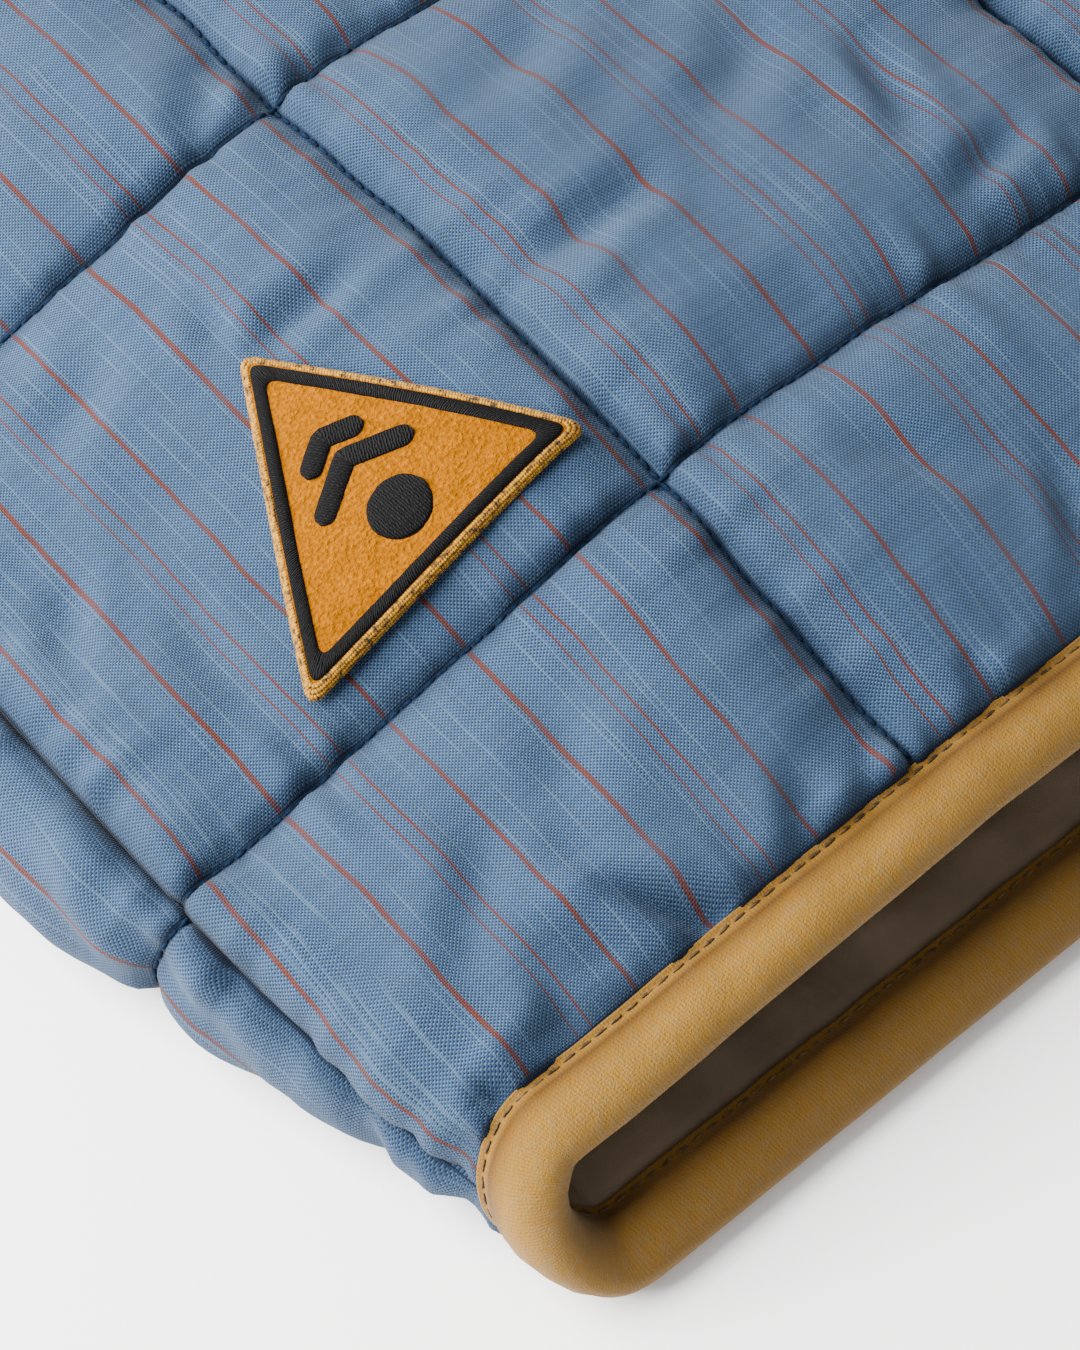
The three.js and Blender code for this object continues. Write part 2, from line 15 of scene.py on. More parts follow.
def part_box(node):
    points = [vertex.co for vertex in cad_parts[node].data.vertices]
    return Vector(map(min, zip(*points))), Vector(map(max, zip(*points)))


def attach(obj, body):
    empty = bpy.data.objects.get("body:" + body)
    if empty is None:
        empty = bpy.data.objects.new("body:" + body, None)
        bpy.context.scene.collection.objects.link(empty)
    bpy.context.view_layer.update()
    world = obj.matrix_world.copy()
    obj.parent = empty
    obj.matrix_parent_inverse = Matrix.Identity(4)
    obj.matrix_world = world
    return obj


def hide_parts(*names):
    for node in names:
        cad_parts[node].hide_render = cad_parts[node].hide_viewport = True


bl_info = {
    "name": "Quilted Vest",
    "version": (1, 0, 0),
    "blender": (4, 5, 0),
    "location": "View3D > Sidebar > Vest",
    "description": "Makes a quilted vest with edge tape, lining, stitching and a felt patch",
    "category": "Add Mesh",
}

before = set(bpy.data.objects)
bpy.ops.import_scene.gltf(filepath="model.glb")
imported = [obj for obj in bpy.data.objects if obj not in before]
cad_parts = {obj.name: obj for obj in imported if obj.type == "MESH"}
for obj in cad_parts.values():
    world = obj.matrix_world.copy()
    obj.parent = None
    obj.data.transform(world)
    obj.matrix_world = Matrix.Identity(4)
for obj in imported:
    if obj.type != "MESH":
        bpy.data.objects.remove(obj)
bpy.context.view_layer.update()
MM = 0.001
BODY = "root"

# ---- the vest's sizes, in millimetres -----------------------------------------------------------

BACK_LOW, BACK_HIGH = (np.array(corner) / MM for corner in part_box("back"))
SIDE_X = 263.0  # centre line to the side fold
HEM_SIDE_X = 247.0  # the same at the hem
SIDE_TAPER = 85.0  # the vest widens over this height above the hem
SEAM_X = 254.0  # centre line to the side seam
HEM_FRONT_Y = -303.0
HEM_BACK_Y = round(float(BACK_LOW[1]), 1)
FRONT_EDGE_X = -round(float(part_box("front_right")[1][0]) / MM, 1)
FOLD_REACH = 12.0  # how far the side fold stands out past the flat underside
FOLD_LENGTH = 38.0  # cloth round the side fold
SIDE_HEIGHT = 24.0
SHOULDER_RADIUS = 12.0
SHOULDER_CLOTH = SHOULDER_RADIUS * math.pi / 2  # cloth of one panel round the shoulder fold
SHOULDER_Y = round(float(BACK_HIGH[1]), 1)
SHOULDER_SLOPE = 0.33
NECK_HALF = 85.0
FRONT_NECK_DEPTH = 102.0
BACK_NECK_DEPTH = 29.0
ARMHOLE_Y = 70.0
ARMHOLE_RISE = 100.0
ARMHOLE_FRONT_X = 194.0
ARMHOLE_BACK_X = 196.0
ARMHOLE_FLARE = 11.0
SWELL = 21.0  # how much higher than its side the front stands where it is fullest
# Parts of the swell along the vest.
SWELL_Y = np.array([-316, -302, -250, -160, 0, 100, 240, 300], float)
SWELL_LIFT = np.array([0.3, 0.34, 1, 1, 0.75, 0.5, 0.1, 0])
QUILT_FIRST_Y = -253.0
QUILT_PITCH = 82.8
QUILT_ROWS = 7
QUILT_BACK_SHIFT = -2.0
LAST_QUILT_Y = QUILT_FIRST_Y + (QUILT_ROWS - 1) * QUILT_PITCH
ROW_LEVEL = 5.5  # above the last quilted line the rows start to follow the shoulder
CHANNELS_X = (171.0, 77.0)
WALL = 4.0  # wadding below the stitched level, on the front and underneath
WALL_UNDER = 6.0
LINING_DEPTH = 0.6  # below the wadding's inner face
BIND_WIDTH = 10.7
PATCH_CORNERS = ((-199.5, -202.0), (-224.0, -246.0), (-175.0, -243.0))
NEAR_Y = -128.0  # the cloth below this line is made finest
NEAR_C = 180.0  # and so is the front's up to here from its side seam
HEM_NEAR_C = (130.0, -120.0)  # the hem's fine stretch
SETTLE = 8  # rounds in which a curved edge and the rows that end on it settle
EDGE_C = SEAM_X - FRONT_EDGE_X

# ---- settings -----------------------------------------------------------------------------------


class VestQuilting(bpy.types.PropertyGroup):
    """Sizes of the quilting."""

    puff: bpy.props.FloatProperty(
        name="Puff", description="Height of the wadding between lines", default=0.0041, unit="LENGTH"
    )
    groove: bpy.props.FloatProperty(
        name="Groove", description="Extra depth right at a stitched line", default=0.0011, unit="LENGTH"
    )
    pucker: bpy.props.FloatProperty(
        name="Pucker", description="Height of the small puckers at a line", default=0.00105, unit="LENGTH"
    )
    stitch: bpy.props.FloatProperty(
        name="Stitch", description="Length of one quilting stitch", default=0.0017, unit="LENGTH"
    )
    fine: bpy.props.FloatProperty(
        name="Fine grid", description="Spacing of points near the hem corner", default=0.0013, unit="LENGTH"
    )
    coarse: bpy.props.FloatProperty(
        name="Coarse grid", description="Spacing of points elsewhere", default=0.0042, unit="LENGTH"
    )


class VestCloth(bpy.types.PropertyGroup):
    """Colours of the chambray and its stripes."""

    warp: bpy.props.FloatVectorProperty(
        name="Warp", description="Colour of the lengthwise threads", subtype="COLOR", size=3,
        default=(0.0034, 0.0155, 0.05),
    )
    weft: bpy.props.FloatVectorProperty(
        name="Weft", description="Colour of the crosswise threads", subtype="COLOR", size=3,
        default=(0.042, 0.074, 0.118),
    )
    stripe: bpy.props.FloatVectorProperty(
        name="Stripe", description="Colour of the rust threads", subtype="COLOR", size=3,
        default=(0.052, 0.01, 0.003),
    )
    thread: bpy.props.FloatVectorProperty(
        name="Thread", description="Colour of the quilting thread", subtype="COLOR", size=3,
        default=(0.0025, 0.008, 0.02),
    )
    repeat: bpy.props.FloatProperty(
        name="Stripe repeat", description="Width of one repeat of the stripes", default=0.031, unit="LENGTH"
    )
    pitch: bpy.props.FloatProperty(
        name="Thread pitch", description="Distance between two threads", default=0.00031, unit="LENGTH"
    )


class VestTrim(bpy.types.PropertyGroup):
    """Sizes and colours of the tape, the lining and the patch."""

    tape: bpy.props.FloatVectorProperty(
        name="Tape", description="Colour of the edge tape", subtype="COLOR", size=3,
        default=(0.19, 0.096, 0.014),
    )
    lining: bpy.props.FloatVectorProperty(
        name="Lining", description="Colour of the lining", subtype="COLOR", size=3,
        default=(0.1, 0.066, 0.036),
    )
    felt: bpy.props.FloatVectorProperty(
        name="Felt", description="Colour of the patch's felt", subtype="COLOR", size=3,
        default=(0.21, 0.067, 0.0),
    )
    lip: bpy.props.FloatProperty(
        name="Lip", description="How far the tape laps over the cloth", default=0.0006, unit="LENGTH"
    )
    stitch: bpy.props.FloatProperty(
        name="Tape stitch", description="Length of one stitch along the tape", default=0.0026, unit="LENGTH"
    )


class VestStage(bpy.types.PropertyGroup):
    """The floor, the lights and the camera."""

    lens: bpy.props.FloatProperty(
        name="Lens", description="Focal length on a 36 mm sensor, in millimetres", default=96.0
    )
    distance: bpy.props.FloatProperty(
        name="Distance", description="Camera to the hem corner", default=0.4692, unit="LENGTH"
    )
    heading: bpy.props.FloatProperty(
        name="Heading", description="Turn of the view from +Y towards +X",
        default=math.radians(41.98), subtype="ANGLE",
    )
    pitch: bpy.props.FloatProperty(
        name="Pitch", description="How steeply the camera looks down",
        default=math.radians(58.05), subtype="ANGLE",
    )
    roll: bpy.props.FloatProperty(
        name="Roll", description="Tilt of the camera", default=math.radians(1.6), subtype="ANGLE"
    )
    floor: bpy.props.FloatVectorProperty(
        name="Floor", description="Colour of the floor", subtype="COLOR", size=3,
        default=(0.95, 0.95, 0.95),
    )


# ---- the cloth's place --------------------------------------------------------------------------


def smoothstep(value, low, high):
    part = np.clip((value - low) / (high - low), 0, 1)
    return part * part * (3 - 2 * part)


def lerp(start, end, part):
    return start + (end - start) * part


def swell_along(y):
    """The smooth curve through the table of lifts."""
    y = np.clip(y, SWELL_Y[0], SWELL_Y[-1])
    slope = np.zeros(len(SWELL_Y))
    slope[1:-1] = (SWELL_LIFT[2:] - SWELL_LIFT[:-2]) / (SWELL_Y[2:] - SWELL_Y[:-2])
    i = np.clip(np.searchsorted(SWELL_Y, y, side="right") - 1, 0, len(SWELL_Y) - 2)
    span = SWELL_Y[i + 1] - SWELL_Y[i]
    part = (y - SWELL_Y[i]) / span
    rest = 1 - part
    ends = SWELL_LIFT[i] * (1 + 2 * part) * rest**2 + SWELL_LIFT[i + 1] * part**2 * (3 - 2 * part)
    return ends + slope[i] * span * part * rest**2 - slope[i + 1] * span * part**2 * rest


def fold_start(y):
    """Distance from the centre line at which the flat underside ends."""
    return lerp(HEM_SIDE_X, SIDE_X, smoothstep(y, HEM_BACK_Y, HEM_BACK_Y + SIDE_TAPER)) - FOLD_REACH


def front_height(x, y):
    rise = smoothstep(SIDE_X - x, 10, 105)
    centre = 1 - 0.4 * smoothstep(165 - x, 0, 120)
    return SIDE_HEIGHT + SWELL * rise * centre * swell_along(y)


def shoulder_bend(x):
    return SHOULDER_Y - SHOULDER_RADIUS - SHOULDER_SLOPE * np.maximum(0, x - NECK_HALF)


def shoulder_top(x):
    return shoulder_bend(x) + SHOULDER_CLOTH


def place(c, y):
    """The stitched level of the cloth's outer face."""
    c, y = np.broadcast_arrays(np.asarray(c, float), np.asarray(y, float))
    flat = fold_start(y)
    top = SEAM_X - flat
    angle = np.pi * (1 - (top - c) / FOLD_LENGTH)
    rise = front_height(flat, y) / 2
    is_front = c >= top
    x = np.where(is_front, SEAM_X - c, flat - (top - FOLD_LENGTH - c))
    bend = np.maximum(0, y - shoulder_bend(x)) / SHOULDER_RADIUS
    shift = SHOULDER_RADIUS * (1 - np.cos(bend))
    level = np.where(is_front, front_height(x, y) - shift, shift)
    up = np.minimum(y, shoulder_bend(x)) + SHOULDER_RADIUS * np.sin(bend)
    in_fold = (c < top) & (c > top - FOLD_LENGTH)
    return np.stack(
        [
            np.where(in_fold, -flat - FOLD_REACH * np.sin(angle), -x),
            np.where(in_fold, y, up),
            np.where(in_fold, rise * (1 - np.cos(angle)), level),
        ],
        -1,
    )


def unit(vectors):
    return vectors / np.linalg.norm(vectors, axis=-1, keepdims=True)


def outward(c, y, step=0.4):
    across = place(c + step, y) - place(c - step, y)
    up = place(c, y + step) - place(c, y - step)
    return unit(np.cross(across, up))


def round_fold(c, y):
    """0 on the underside and 1 on the front."""
    return np.clip(1 - (SEAM_X - fold_start(y) - c) / FOLD_LENGTH, 0, 1)


def wall_at(c, y):
    return lerp(WALL_UNDER, WALL, smoothstep(round_fold(c, y), 0, 1))


def on_cloth(c, y, height):
    height = np.asarray(height)[..., None]
    return place(c, y) + outward(c, y) * height


# ---- edges in cloth coordinates -----------------------------------------------------------------


def hem_y(c):
    return lerp(HEM_FRONT_Y, HEM_BACK_Y, smoothstep(16 - c, 0, FOLD_LENGTH))


def arc(part):
    return np.sqrt(np.maximum(0, 1 - part * part))


def armhole_parts(y):
    part = (y - ARMHOLE_Y) / ARMHOLE_RISE
    return part, np.maximum(0, (part - 1) / 1.25) ** 2


def armhole_front_x(y):
    part, flare = armhole_parts(y)
    curve = lerp(SEAM_X, ARMHOLE_FRONT_X, arc(1 - np.clip(part, 0, 1)))
    return np.where(part <= 0, SEAM_X, curve) + ARMHOLE_FLARE * flare


def armhole_back_c(y):
    part, flare = armhole_parts(y)
    deepest = SEAM_X - 2 * fold_start(y) - FOLD_LENGTH + ARMHOLE_BACK_X
    curve = deepest * arc(1 - np.clip(part, 0, 1))
    return np.where(part <= 0, 0, curve) + ARMHOLE_FLARE * 0.8 * flare


NECK_TOP = float(shoulder_top(NECK_HALF))
NECK_FOOT = NECK_TOP - FRONT_NECK_DEPTH + 1


def front_neck_x(y):
    return NECK_HALF * arc(np.clip((NECK_TOP - y) / FRONT_NECK_DEPTH, 0, 1))


def back_neck_y(x):
    return NECK_TOP - BACK_NECK_DEPTH * arc(np.clip(x / NECK_HALF, 0, 1))


def back_top(x):
    return np.where(x < NECK_HALF, back_neck_y(x), shoulder_top(x))


def under_c(x, y):
    """Cloth coordinate on the underside at a distance x from the centre line."""
    return SEAM_X - FOLD_LENGTH - 2 * fold_start(y) + x


def under_x(c, y):
    return np.clip(c - under_c(0, y), 0, fold_start(y))


# ---- noise and creases --------------------------------------------------------------------------


def noise(u, v, seed):
    """Smooth noise from -1 to 1 with a lattice of one unit."""
    table = np.random.default_rng(seed).uniform(-1, 1, (64, 64))
    u, v = np.broadcast_arrays(np.asarray(u, float), np.asarray(v, float))
    i, j = np.floor(u).astype(int), np.floor(v).astype(int)
    s, t = (w * w * w * (w * (w * 6 - 15) + 10) for w in (u - i, v - j))

    def at(a, b):
        return table[(i + a) % 64, (j + b) % 64]

    return lerp(lerp(at(0, 0), at(1, 0), s), lerp(at(0, 1), at(1, 1), s), t)


# Creases placed one by one: middle, direction in degrees, length, width and depth. A trough has a
# positive depth and a ridge a negative one.
CREASE_SCALE = 1.75  # millimetres for each unit of depth
CREASE_COLUMNS = ("x", "y", "turn", "length", "width", "depth")
RIGHT_CREASES = (
    (-189, -202, 8, 21, 2.6, 1.1),
    (-199, -193, 70, 13, 2.4, 0.7),
    (-160, -218, -28, 21, 2.8, 1.0),
    (-150, -217, 5, 24, 3.2, 1.0),
    (-161, -226, -20, 16, 2.6, -0.7),
    (-104, -225, 62, 26, 3.0, 1.1),
    (-101, -243, 20, 22, 2.6, 1.0),
    (-118, -208, 35, 34, 4.2, 0.8),
    (-207, -297, -46, 24, 2.4, 2.2),
    (-214, -291, -30, 20, 3.4, -1.2),
    (-239, -303, -38, 13, 2.0, 1.7),
    (-232, -300, 20, 16, 2.2, 1.0),
    (-155, -301, -75, 14, 2.0, 1.1),
    (-176, -300, 80, 11, 1.9, 0.8),
    (-187, -298, 60, 16, 2.4, 0.8),
    (-226, -281, 48, 34, 3.4, 0.7),
    (-205, -272, 30, 28, 4.5, 0.6),
    (-229, -232, 75, 26, 3.2, 0.7),
    (-240, -215, 60, 24, 3.0, 0.8),
    (-219, -187, 32, 30, 3.8, 0.8),
    (-236, -183, -40, 22, 3.2, 0.7),
    (-142, -271, -55, 30, 3.6, 0.7),
    (-131, -289, 70, 24, 2.6, 0.8),
    (-143, -188, 22, 36, 4.4, 0.8),
    (-123, -175, -30, 22, 3.0, 0.7),
    (-178, -165, 38, 24, 3.2, 0.9),
    (-152, -159, -48, 26, 3.6, 0.8),
    (-87, -262, 40, 26, 3.4, 1.0),
    (-60, -285, -35, 30, 3.8, 0.9),
    (-45, -214, 25, 38, 4.6, 0.9),
)
# The left front's own creases near the hem, so that the two sides differ.
LEFT_CREASES = (
    (-202, -290, 52, 24, 2.6, 1.4),
    (-150, -296, -62, 18, 2.4, 1.2),
    (-96, -284, 34, 30, 3.8, 0.9),
    (-232, -276, 66, 26, 3.2, 0.9),
    (-214, -226, -28, 30, 4.0, 0.9),
    (-142, -212, 40, 36, 4.6, 1.0),
    (-62, -232, -18, 30, 4.0, 0.9),
    (-104, -190, 58, 26, 3.4, 1.0),
    (-188, -172, 20, 34, 4.2, 0.9),
    (-38, -186, 70, 26, 3.6, 0.9),
)
# The same kind of creases where the cloth is further from the hem corner.
HIDDEN_CREASES = (
    (-40, -130, 32, 34, 4.4, 1.0),
    (-118, -108, -28, 30, 4.0, 1.0),
    (-196, -98, 55, 26, 3.6, 0.9),
    (-232, -60, 72, 34, 3.8, 1.1),
    (-150, -42, 18, 40, 5.0, 1.0),
    (-58, -20, -42, 36, 4.2, 0.9),
    (-98, 28, 30, 30, 4.0, 1.0),
    (-206, 20, -60, 30, 3.8, 1.1),
    (-228, 58, 40, 26, 3.2, 1.2),
    (-30, 72, 62, 30, 3.8, 0.9),
    (-140, 96, -22, 38, 4.6, 1.0),
    (-182, 122, 66, 24, 3.2, 1.1),
    (-64, 142, 26, 30, 4.0, 1.0),
    (-112, 196, -34, 34, 4.2, 1.1),
    (-160, 222, 48, 26, 3.4, 1.0),
    (-124, 268, 12, 28, 3.6, 1.0),
    (-176, 282, -22, 22, 3.0, 1.0),
)
# On the side of the back, as cloth coordinates.
SIDE_CREASES = (
    (-9, -262, 82, 26, 2.6, 0.8),
    (-17, -281, 64, 24, 2.8, 0.9),
    (-8, -292, 30, 14, 2.2, 0.9),
    (-24, -297, 76, 22, 2.6, 0.8),
    (-6, -304, -24, 12, 2.0, 0.9),
    (-12, -240, 74, 24, 2.8, 0.8),
    (-22, -226, 58, 22, 3.0, 0.9),
    (-8, -212, -66, 24, 2.6, 0.9),
    (-15, -190, 84, 30, 3.2, 0.9),
    (-20, -156, 70, 28, 3.0, 1.0),
    (-9, -118, -74, 30, 3.0, 0.9),
    (-18, -78, 80, 34, 3.4, 1.0),
    (-12, -28, -68, 28, 3.0, 0.9),
    (-21, 14, 76, 30, 3.4, 1.0),
    (-10, 52, 60, 22, 2.8, 1.0),
)


def crease_height(x, y, rows):
    """Soft troughs with a low ridge on either side, tapering to nothing at their ends."""
    total = np.zeros(np.broadcast(x, y).shape)
    for row in rows:
        crease = dict(zip(CREASE_COLUMNS, row))
        turn = math.radians(crease["turn"])
        dx, dy = x - crease["x"], y - crease["y"]
        along = (dx * math.cos(turn) + dy * math.sin(turn)) / (crease["length"] / 2)
        across = (dy * math.cos(turn) - dx * math.sin(turn)) / crease["width"]
        across = across + 0.35 * np.sin(2.6 * along + crease["x"])
        taper = np.clip(1 - along**2, 0, 1) ** 1.4
        shape = np.exp(-(across**2)) - 0.4 * np.exp(-((np.abs(across) - 1.9) ** 2) / 0.8)
        total -= CREASE_SCALE * crease["depth"] * taper * shape
    return total


# ---- quilting -----------------------------------------------------------------------------------

PUFF_RUN = 26.0  # distance from a line at which a puff is full
UNDER_TAPE = 0.4  # the tape holds the cloth down this far in from its edge
PRESSED = -0.35  # level of the cloth under the tape


def swell(gap):
    """From 0 at a stitched line to 1: a round shoulder at once, then a slow rise."""
    left = 1 - np.clip(gap, 0, PUFF_RUN) / PUFF_RUN
    return 1 - 0.76 * left**2.9 - 0.24 * left**15


def row_wander(c):
    """How far a crosswise stitched line strays at c."""
    return 0.9 * noise(c / 38, 0.5, 11) + 0.5 * noise(c / 11, 4.5, 12)


def channel_wander(y):
    return 0.8 * noise(y / 34, 7.5, 13) + 0.5 * noise(y / 10, 2.5, 14)


def row_gap(c, y, shift):
    """Signed distance to the nearest crosswise line."""
    y = y - shift - row_wander(c)
    k = np.clip(np.round((y - QUILT_FIRST_Y) / QUILT_PITCH), 0, QUILT_ROWS - 1)
    return y - QUILT_FIRST_Y - k * QUILT_PITCH


def front_curve_gap(x, y):
    """Distance to the armhole's and the neck's curves on the front."""
    up = np.minimum(0, (y - ARMHOLE_Y) / ARMHOLE_RISE - 1)
    side = (SEAM_X - x) / (SEAM_X - ARMHOLE_FRONT_X)
    straight = y > ARMHOLE_Y + ARMHOLE_RISE
    arm = np.where(straight, armhole_front_x(y) - x, (np.hypot(up, side) - 1) * 75)
    neck = (np.hypot(x / NECK_HALF, (NECK_TOP - y) / FRONT_NECK_DEPTH) - 1) * NECK_HALF
    return np.maximum(0, np.minimum(arm, neck))


def line_relief(gap, along, quilting, seed):
    """Groove and puckers at a line, from the distance to it and the place along it."""
    groove = quilting.groove / MM * np.exp(-((gap / 1.15) ** 2))
    small = 1.3 * noise(along / 3.6, gap / 26, seed) * np.exp(-gap / 7.5)
    tiny = noise(along / 1.7, gap / 15, seed + 1) * np.exp(-gap / 2.6)
    wide = noise(along / 8, gap / 30, seed + 2) * np.exp(-gap / 11)
    fade = smoothstep(gap, 0, 1.4)
    return quilting.pucker / MM * fade * (small + 0.6 * tiny + 1.1 * wide) - groove


def mottle(c, y):
    """Loose unevenness of the wadding, in parts of its full height."""
    broad = 0.8 * noise(c / 27, y / 24, 31) + 0.5 * noise(c / 12, y / 13, 32)
    return broad + 0.24 * noise(c / 5.5, y / 7, 33)


def front_gap(c, y):
    """Distance to the nearest stitched line of the front."""
    uprights = [np.abs(SEAM_X - c - line - channel_wander(y + 40 * k)) for k, line in enumerate(CHANNELS_X)]
    seams = np.minimum.reduce([*uprights, np.abs(c + channel_wander(y) * 0.5), np.abs(row_gap(c, y, 0))])
    # The taped edges count as lines too, so that painted shade also runs along the tape.
    edges = np.minimum.reduce([y - hem_y(c), SEAM_X - c - FRONT_EDGE_X, front_curve_gap(SEAM_X - c, y)])
    return np.minimum(seams, np.maximum(0, edges - 0.3) * 0.8)


def back_gap(c, y):
    """Distance to the nearest stitched line of the back."""
    uprights = [np.abs(under_x(c, y) - line) + 50 * (c > -FOLD_LENGTH) for line in CHANNELS_X]
    rows = np.abs(row_gap(c, y, QUILT_BACK_SHIFT))
    # The hem counts as a line too, so that painted shade also runs along the tape.
    hem = np.maximum(0, y - hem_y(c) - 0.3) * 0.8
    return np.minimum.reduce([*uprights, rows, hem, np.abs(c + channel_wander(y) * 0.5)])


def front_relief(c, y, quilting, mirror=1):
    """Height of the front's cloth above the stitched level; mirror is 1 for the right, -1 for the left."""
    x = SEAM_X - c
    seam = c + channel_wander(y) * 0.5
    uprights = [np.abs(x - line - channel_wander(y + 40 * k)) for k, line in enumerate(CHANNELS_X)]
    edge = np.maximum(0, x - FRONT_EDGE_X - UNDER_TAPE)
    hem = np.maximum(0, y - hem_y(c) - UNDER_TAPE)
    top = shoulder_top(x) - y
    curves = np.maximum(0, front_curve_gap(x, y) - UNDER_TAPE)
    rows = np.abs(row_gap(c, y, 0))
    seam_swell = 1 - (1 - np.clip(seam, 0, PUFF_RUN) / PUFF_RUN) ** 5
    across = np.minimum(swell(np.minimum.reduce([*uprights, edge])), seam_swell)
    level = swell(np.minimum.reduce([rows, hem, top]))
    body = across * level * swell(curves)
    creases = RIGHT_CREASES + HIDDEN_CREASES if mirror > 0 else HIDDEN_CREASES + LEFT_CREASES
    height = quilting.puff / MM * body + mottle(c * mirror, y) * np.minimum(1, 2.2 * body)
    height = height + crease_height(-x, y, creases) * np.minimum(1, 3 * body + 0.12)
    for k, gap in enumerate([*uprights, np.abs(seam)]):
        height = height + line_relief(gap, y, quilting, 40 + 7 * k)
    height = height + line_relief(rows, c, quilting, 70)
    held = np.minimum.reduce([edge, hem, front_curve_gap(x, y) - UNDER_TAPE])
    pull = noise(c / 3.4, y / 7, 81) + 0.8 * noise(c / 7, y / 12, 82)
    pull = quilting.pucker / MM * 1.7 * pull * np.exp(-np.maximum(held, 0) / 6)
    height = height + pull * smoothstep(held, 0, 1.5)
    return np.where(held <= 0, PRESSED, lerp(PRESSED, height, smoothstep(held, -0.2, 1.0)))


def back_relief(c, y, quilting):
    """Height of the back's cloth: puffed round the side fold, nearly flat underneath."""
    rows = np.abs(row_gap(c, y, QUILT_BACK_SHIFT))
    hem = np.maximum(0, y - hem_y(c) - UNDER_TAPE)
    arm = np.maximum(0, armhole_back_c(y) - c)
    arm = np.where(y > ARMHOLE_Y, arm, PUFF_RUN)
    side = smoothstep(round_fold(c, y), 0.04, 0.5)
    seam = -c - channel_wander(y) * 0.5
    body = swell(np.maximum(0, seam)) * swell(np.minimum(rows, hem)) * swell(np.maximum(0, arm - UNDER_TAPE))
    puffed = quilting.puff / MM * 0.95 * body + 0.8 * mottle(c, y) * np.minimum(1, 2.2 * body)
    puffed = puffed + crease_height(c, y, SIDE_CREASES) * np.minimum(1, 3 * body + 0.12)
    puffed = puffed + line_relief(np.abs(seam), y, quilting, 61) + line_relief(rows, c, quilting, 70)
    x = under_x(c, y)
    uprights = np.minimum.reduce([np.abs(x - line) for line in CHANNELS_X])
    groove = 1.3 * np.exp(-((np.minimum(rows, uprights) / 2.6) ** 2))
    under = -groove - 0.25 * (1 - body) * smoothstep(rows, 0, 3)
    held = np.minimum(hem, arm)
    height = lerp(np.minimum(0, under), puffed, side)
    return np.where(held <= 0, PRESSED, lerp(PRESSED, height, smoothstep(held, 0, 1.2)))


# ---- grids --------------------------------------------------------------------------------------


def steps(start, end, spacing):
    return np.linspace(start, end, max(2, int(round(abs(end - start) / spacing)) + 1))


def joined(*runs):
    """Runs of values one after another, without the shared ends."""
    return np.concatenate([runs[0], *(run[1:] for run in runs[1:])])


def with_lines(start, end, spacing, lines):
    """Evenly spaced values from start to end that take in each line, with more right beside it."""
    beside = [line + step for line in lines for step in (-1.0, -0.45, 0, 0.45, 1.0)]
    marks = [start, *(mark for mark in beside if start < mark < end), end]
    return joined(*(steps(a, b, spacing) for a, b in zip(marks, marks[1:])))


def drawn_to(value, line, stray):
    """The value, moved along with a line that strays, where it is near that line."""
    return value + stray * (1 - smoothstep(np.abs(value - line), 2, 16))


def row_levels(shift):
    return [QUILT_FIRST_Y + shift + k * QUILT_PITCH for k in range(QUILT_ROWS)]


def with_curve_feet(heights, feet):
    """More rows just above the foot of a curved edge."""
    extra = [foot + step for foot in feet for step in (0, 0.12, 0.5, 1.2, 2.2)]
    kept = [y for y in heights if all(abs(y - other) > 0.5 for other in extra)]
    return np.array(sorted([*kept, *extra]))


FIRST_DRAW = float(1 - smoothstep(ROW_LEVEL, 2, 16))


class Rows:
    """A panel's rows: from the hem up to level ones, then up to the shoulder and over its fold."""

    HEM, LEVEL, HIGH, OVER = range(4)

    def __init__(self, shift, top_line, near, far, feet):
        self.top_line = top_line
        self.first = QUILT_FIRST_Y + shift - ROW_LEVEL
        self.last = LAST_QUILT_Y + shift + ROW_LEVEL
        self.levels = row_levels(shift)
        low = with_lines(self.first, NEAR_Y, near, self.levels)
        level = joined(low, with_lines(NEAR_Y, self.last, far, self.levels))
        level = with_curve_feet(level, feet)
        hem = steps(0, 1, near / (self.first - HEM_FRONT_Y))[:-1]
        high = np.linspace(0, 1, 15)[1:-1]
        over = np.linspace(1, 0, 8)
        runs = [hem, level, high, over]
        self.kind = np.repeat(range(4), [len(run) for run in runs])[:, None]
        self.part = np.concatenate(runs)[:, None]

    def y(self, x, c):
        top = self.top_line(x)
        kinds = [self.kind == self.HEM, self.kind == self.LEVEL, self.kind == self.HIGH]
        level = self.part + 0 * x
        for line in self.levels:
            level = drawn_to(level, line, row_wander(c))
        rise = row_wander(c) * (1 - smoothstep(self.part, 0, 0.9))
        low_rise = row_wander(c) * smoothstep(self.part, 0.2, 1)
        heights = [
            lerp(hem_y(c), self.first, self.part) + low_rise * FIRST_DRAW,
            level,
            lerp(self.last, top - SHOULDER_CLOTH, self.part) + rise * FIRST_DRAW,
        ]
        return np.select(kinds, heights, top - self.part * SHOULDER_CLOTH)


